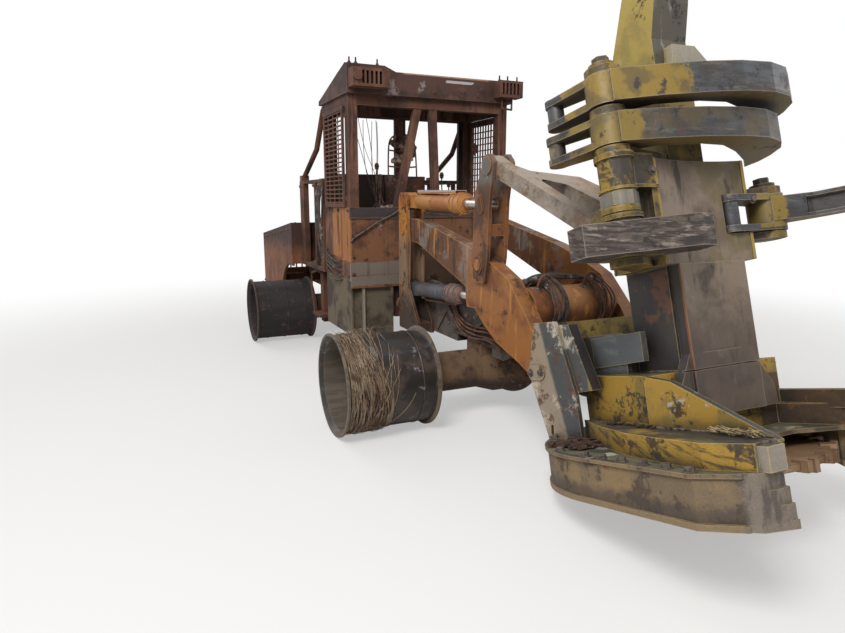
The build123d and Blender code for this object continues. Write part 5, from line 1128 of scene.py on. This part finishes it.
class FELLER_OT_bark(bpy.types.Operator):
    """Bark chips and straw left on the felling head"""
    bl_idname = "feller.bark"
    bl_label = "Bark and straw"

    def execute(self, context):
        length = context.scene.feller_sizes.chip
        draw = random.Random(97)
        shape = bmesh.new()
        for k in range(110):
            chip(shape, head(draw.uniform(460, 700), -draw.uniform(480, 650), DECK_Z + draw.uniform(2, 22)),
                 length * draw.uniform(0.35, 1.0), draw)
        for k in range(34):
            chip(shape, head(draw.uniform(720, 1250), -draw.uniform(440, 480), TIER_Z + draw.uniform(2, 10)),
                 length * draw.uniform(0.3, 0.7), draw)
        for k in range(40):
            chip(shape, head(draw.uniform(700, 1200), draw.uniform(450, 560), TIER_Z + draw.uniform(2, 10)),
                 length * draw.uniform(0.3, 0.8), draw)
        piece(shape, "bark_chips", "head", "Dry_bark", 60.0)
        stalks = []
        for k in range(110):
            x = draw.uniform(1390, 1620)
            y = -(430 + 0.15 * (x - 1250) + draw.uniform(4, 56))
            turn, reach = draw.uniform(0, 6.28), draw.uniform(24, 70)
            z = TIER_Z + 1 + draw.uniform(1, 14)
            middle = head(x, y, z + draw.uniform(3, 14))
            step = Vector((math.cos(turn) * reach * MM * 0.6, math.sin(turn) * reach * MM * 0.35, 0))
            stalks.append([middle - step - HEAD_UP * 0.004, middle, middle + step + HEAD_UP * draw.uniform(-4, 5) * MM])
        rods("straw_stalks", stalks, 0.0045, "head", "Dry_straw", sides=0)
        return {"FINISHED"}


class FELLER_OT_stage(bpy.types.Operator):
    """Camera, lamps, pale floor and white background"""
    bl_idname = "feller.stage"
    bl_label = "Stage"

    def execute(self, context):
        scene = context.scene
        scene.view_settings.view_transform = "Standard"
        lens = bpy.data.cameras.new("photo_camera")
        lens.sensor_width = 36.0
        lens.lens = lens.sensor_width * FOCAL_PX / WIDTH_PX
        lens.clip_end = 200.0
        camera = bpy.data.objects.new("photo_camera", lens)
        camera.location = Vector(CAMERA_AT) + Vector((AXLE_X, 0, 0))
        ahead = Vector((-math.cos(HEADING) * math.cos(PITCH), math.sin(HEADING) * math.cos(PITCH), -math.sin(PITCH)))
        camera.rotation_euler = ahead.to_track_quat("-Z", "Y").to_euler()
        context.collection.objects.link(camera)
        scene.camera = camera
        shape = bmesh.new()
        bmesh.ops.create_grid(shape, x_segments=8, y_segments=8, size=60.0)
        mesh = bpy.data.meshes.new("floor")
        shape.to_mesh(mesh)
        shape.free()
        floor = bpy.data.objects.new("floor", mesh)
        floor.location = (0, 0, -0.001)
        context.collection.objects.link(floor)
        # Painted studio floor, matt; towards the back it turns plain white for the camera, so no horizon shows
        paint_coat = surface("Pale_floor_paint", "floor", 0.9, 0.0, 8, 0.0, [])
        tree = paint_coat.node_tree
        place = add_node(tree, "ShaderNodeTexCoord").outputs["Object"]
        away = add_node(tree, "ShaderNodeVectorMath", {"operation": "LENGTH"}, links={0: place}).outputs["Value"]
        far = add_node(tree, "ShaderNodeMapRange", {"interpolation_type": "SMOOTHSTEP"},
                       {"From Min": 3.5, "From Max": 9.0, "To Min": 0.42}, {"Value": away}).outputs[0]
        path = add_node(tree, "ShaderNodeLightPath").outputs["Is Camera Ray"]
        share = add_node(tree, "ShaderNodeMath", {"operation": "MULTIPLY"}, links={0: far, 1: path}).outputs[0]
        glow = add_node(tree, "ShaderNodeEmission", values={"Color": (1, 1, 1, 1), "Strength": 1.0}).outputs[0]
        coat = next(node for node in tree.nodes if node.type == "BSDF_PRINCIPLED").outputs[0]
        both = add_node(tree, "ShaderNodeMixShader", links={0: share, 1: coat, 2: glow}).outputs[0]
        tree.links.new(both, next(node for node in tree.nodes if node.type == "OUTPUT_MATERIAL").inputs[0])
        mesh.materials.append(paint_coat)
        for name, spot, size, watts in (("key", (6, -5, 7), 3.0, 560), ("fill", (4, 7, 6), 6.0, 110),
                                        ("back", (-8, -4, 7), 6.0, 220)):
            lamp = bpy.data.lights.new(name, "AREA")
            lamp.size = size
            lamp.energy = watts
            holder = bpy.data.objects.new(name, lamp)
            holder.location = spot
            holder.rotation_euler = (Vector((0, 0, 1)) - Vector(spot)).to_track_quat("-Z", "Y").to_euler()
            context.collection.objects.link(holder)
        world = bpy.data.worlds.new("studio")
        world.use_nodes = True
        scene.world = world
        tree = world.node_tree
        tree.nodes.clear()
        path = add_node(tree, "ShaderNodeLightPath").outputs
        seen = add_node(tree, "ShaderNodeMath", {"operation": "MAXIMUM"},
                        links={0: path["Is Camera Ray"], 1: path["Is Glossy Ray"]})
        seen = add_node(tree, "ShaderNodeMath", {"operation": "MAXIMUM"},
                        links={0: seen.outputs[0], 1: path["Is Transmission Ray"]})
        lit = add_node(tree, "ShaderNodeBackground", values={"Color": (1, 1, 1, 1), "Strength": 0.36})
        white = add_node(tree, "ShaderNodeBackground", values={"Color": (1, 1, 1, 1), "Strength": 1.0})
        both = add_node(tree, "ShaderNodeMixShader", links={0: seen.outputs[0], 1: lit.outputs[0],
                                                            2: white.outputs[0]})
        add_node(tree, "ShaderNodeOutputWorld", links={"Surface": both.outputs[0]})
        return {"FINISHED"}


STEPS = (FELLER_OT_stage, FELLER_OT_finishes, FELLER_OT_roof_studs, FELLER_OT_cab_remains, FELLER_OT_burnt_lines,
         FELLER_OT_engine_lines, FELLER_OT_wheel_wires, FELLER_OT_wheel_nuts, FELLER_OT_boom_lines,
         FELLER_OT_cylinder_fittings, FELLER_OT_panel_bolts, FELLER_OT_head_bolts, FELLER_OT_head_welds,
         FELLER_OT_bark)


class FELLER_PT_panel(bpy.types.Panel):
    """Steps, colours and sizes of the dressed machine"""
    bl_label = "Feller buncher"
    bl_idname = "FELLER_PT_panel"
    bl_space_type = "VIEW_3D"
    bl_region_type = "UI"
    bl_category = "Feller buncher"

    def draw(self, context):
        for group in (context.scene.feller_colours, context.scene.feller_sizes):
            for key in type(group).__annotations__:
                self.layout.prop(group, key)
        for step in STEPS:
            self.layout.operator(step.bl_idname)


CLASSES = (FELLER_PG_colours, FELLER_PG_sizes, *STEPS, FELLER_PT_panel)


def register():
    for cls in CLASSES:
        bpy.utils.register_class(cls)
    bpy.types.Scene.feller_colours = PointerProperty(type=FELLER_PG_colours)
    bpy.types.Scene.feller_sizes = PointerProperty(type=FELLER_PG_sizes)


def unregister():
    del bpy.types.Scene.feller_sizes
    del bpy.types.Scene.feller_colours
    for cls in reversed(CLASSES):
        bpy.utils.unregister_class(cls)


def main():
    register()
    for step in STEPS:
        getattr(bpy.ops.feller, step.bl_idname.split(".")[1])()


if __name__ == "__main__":
    main()
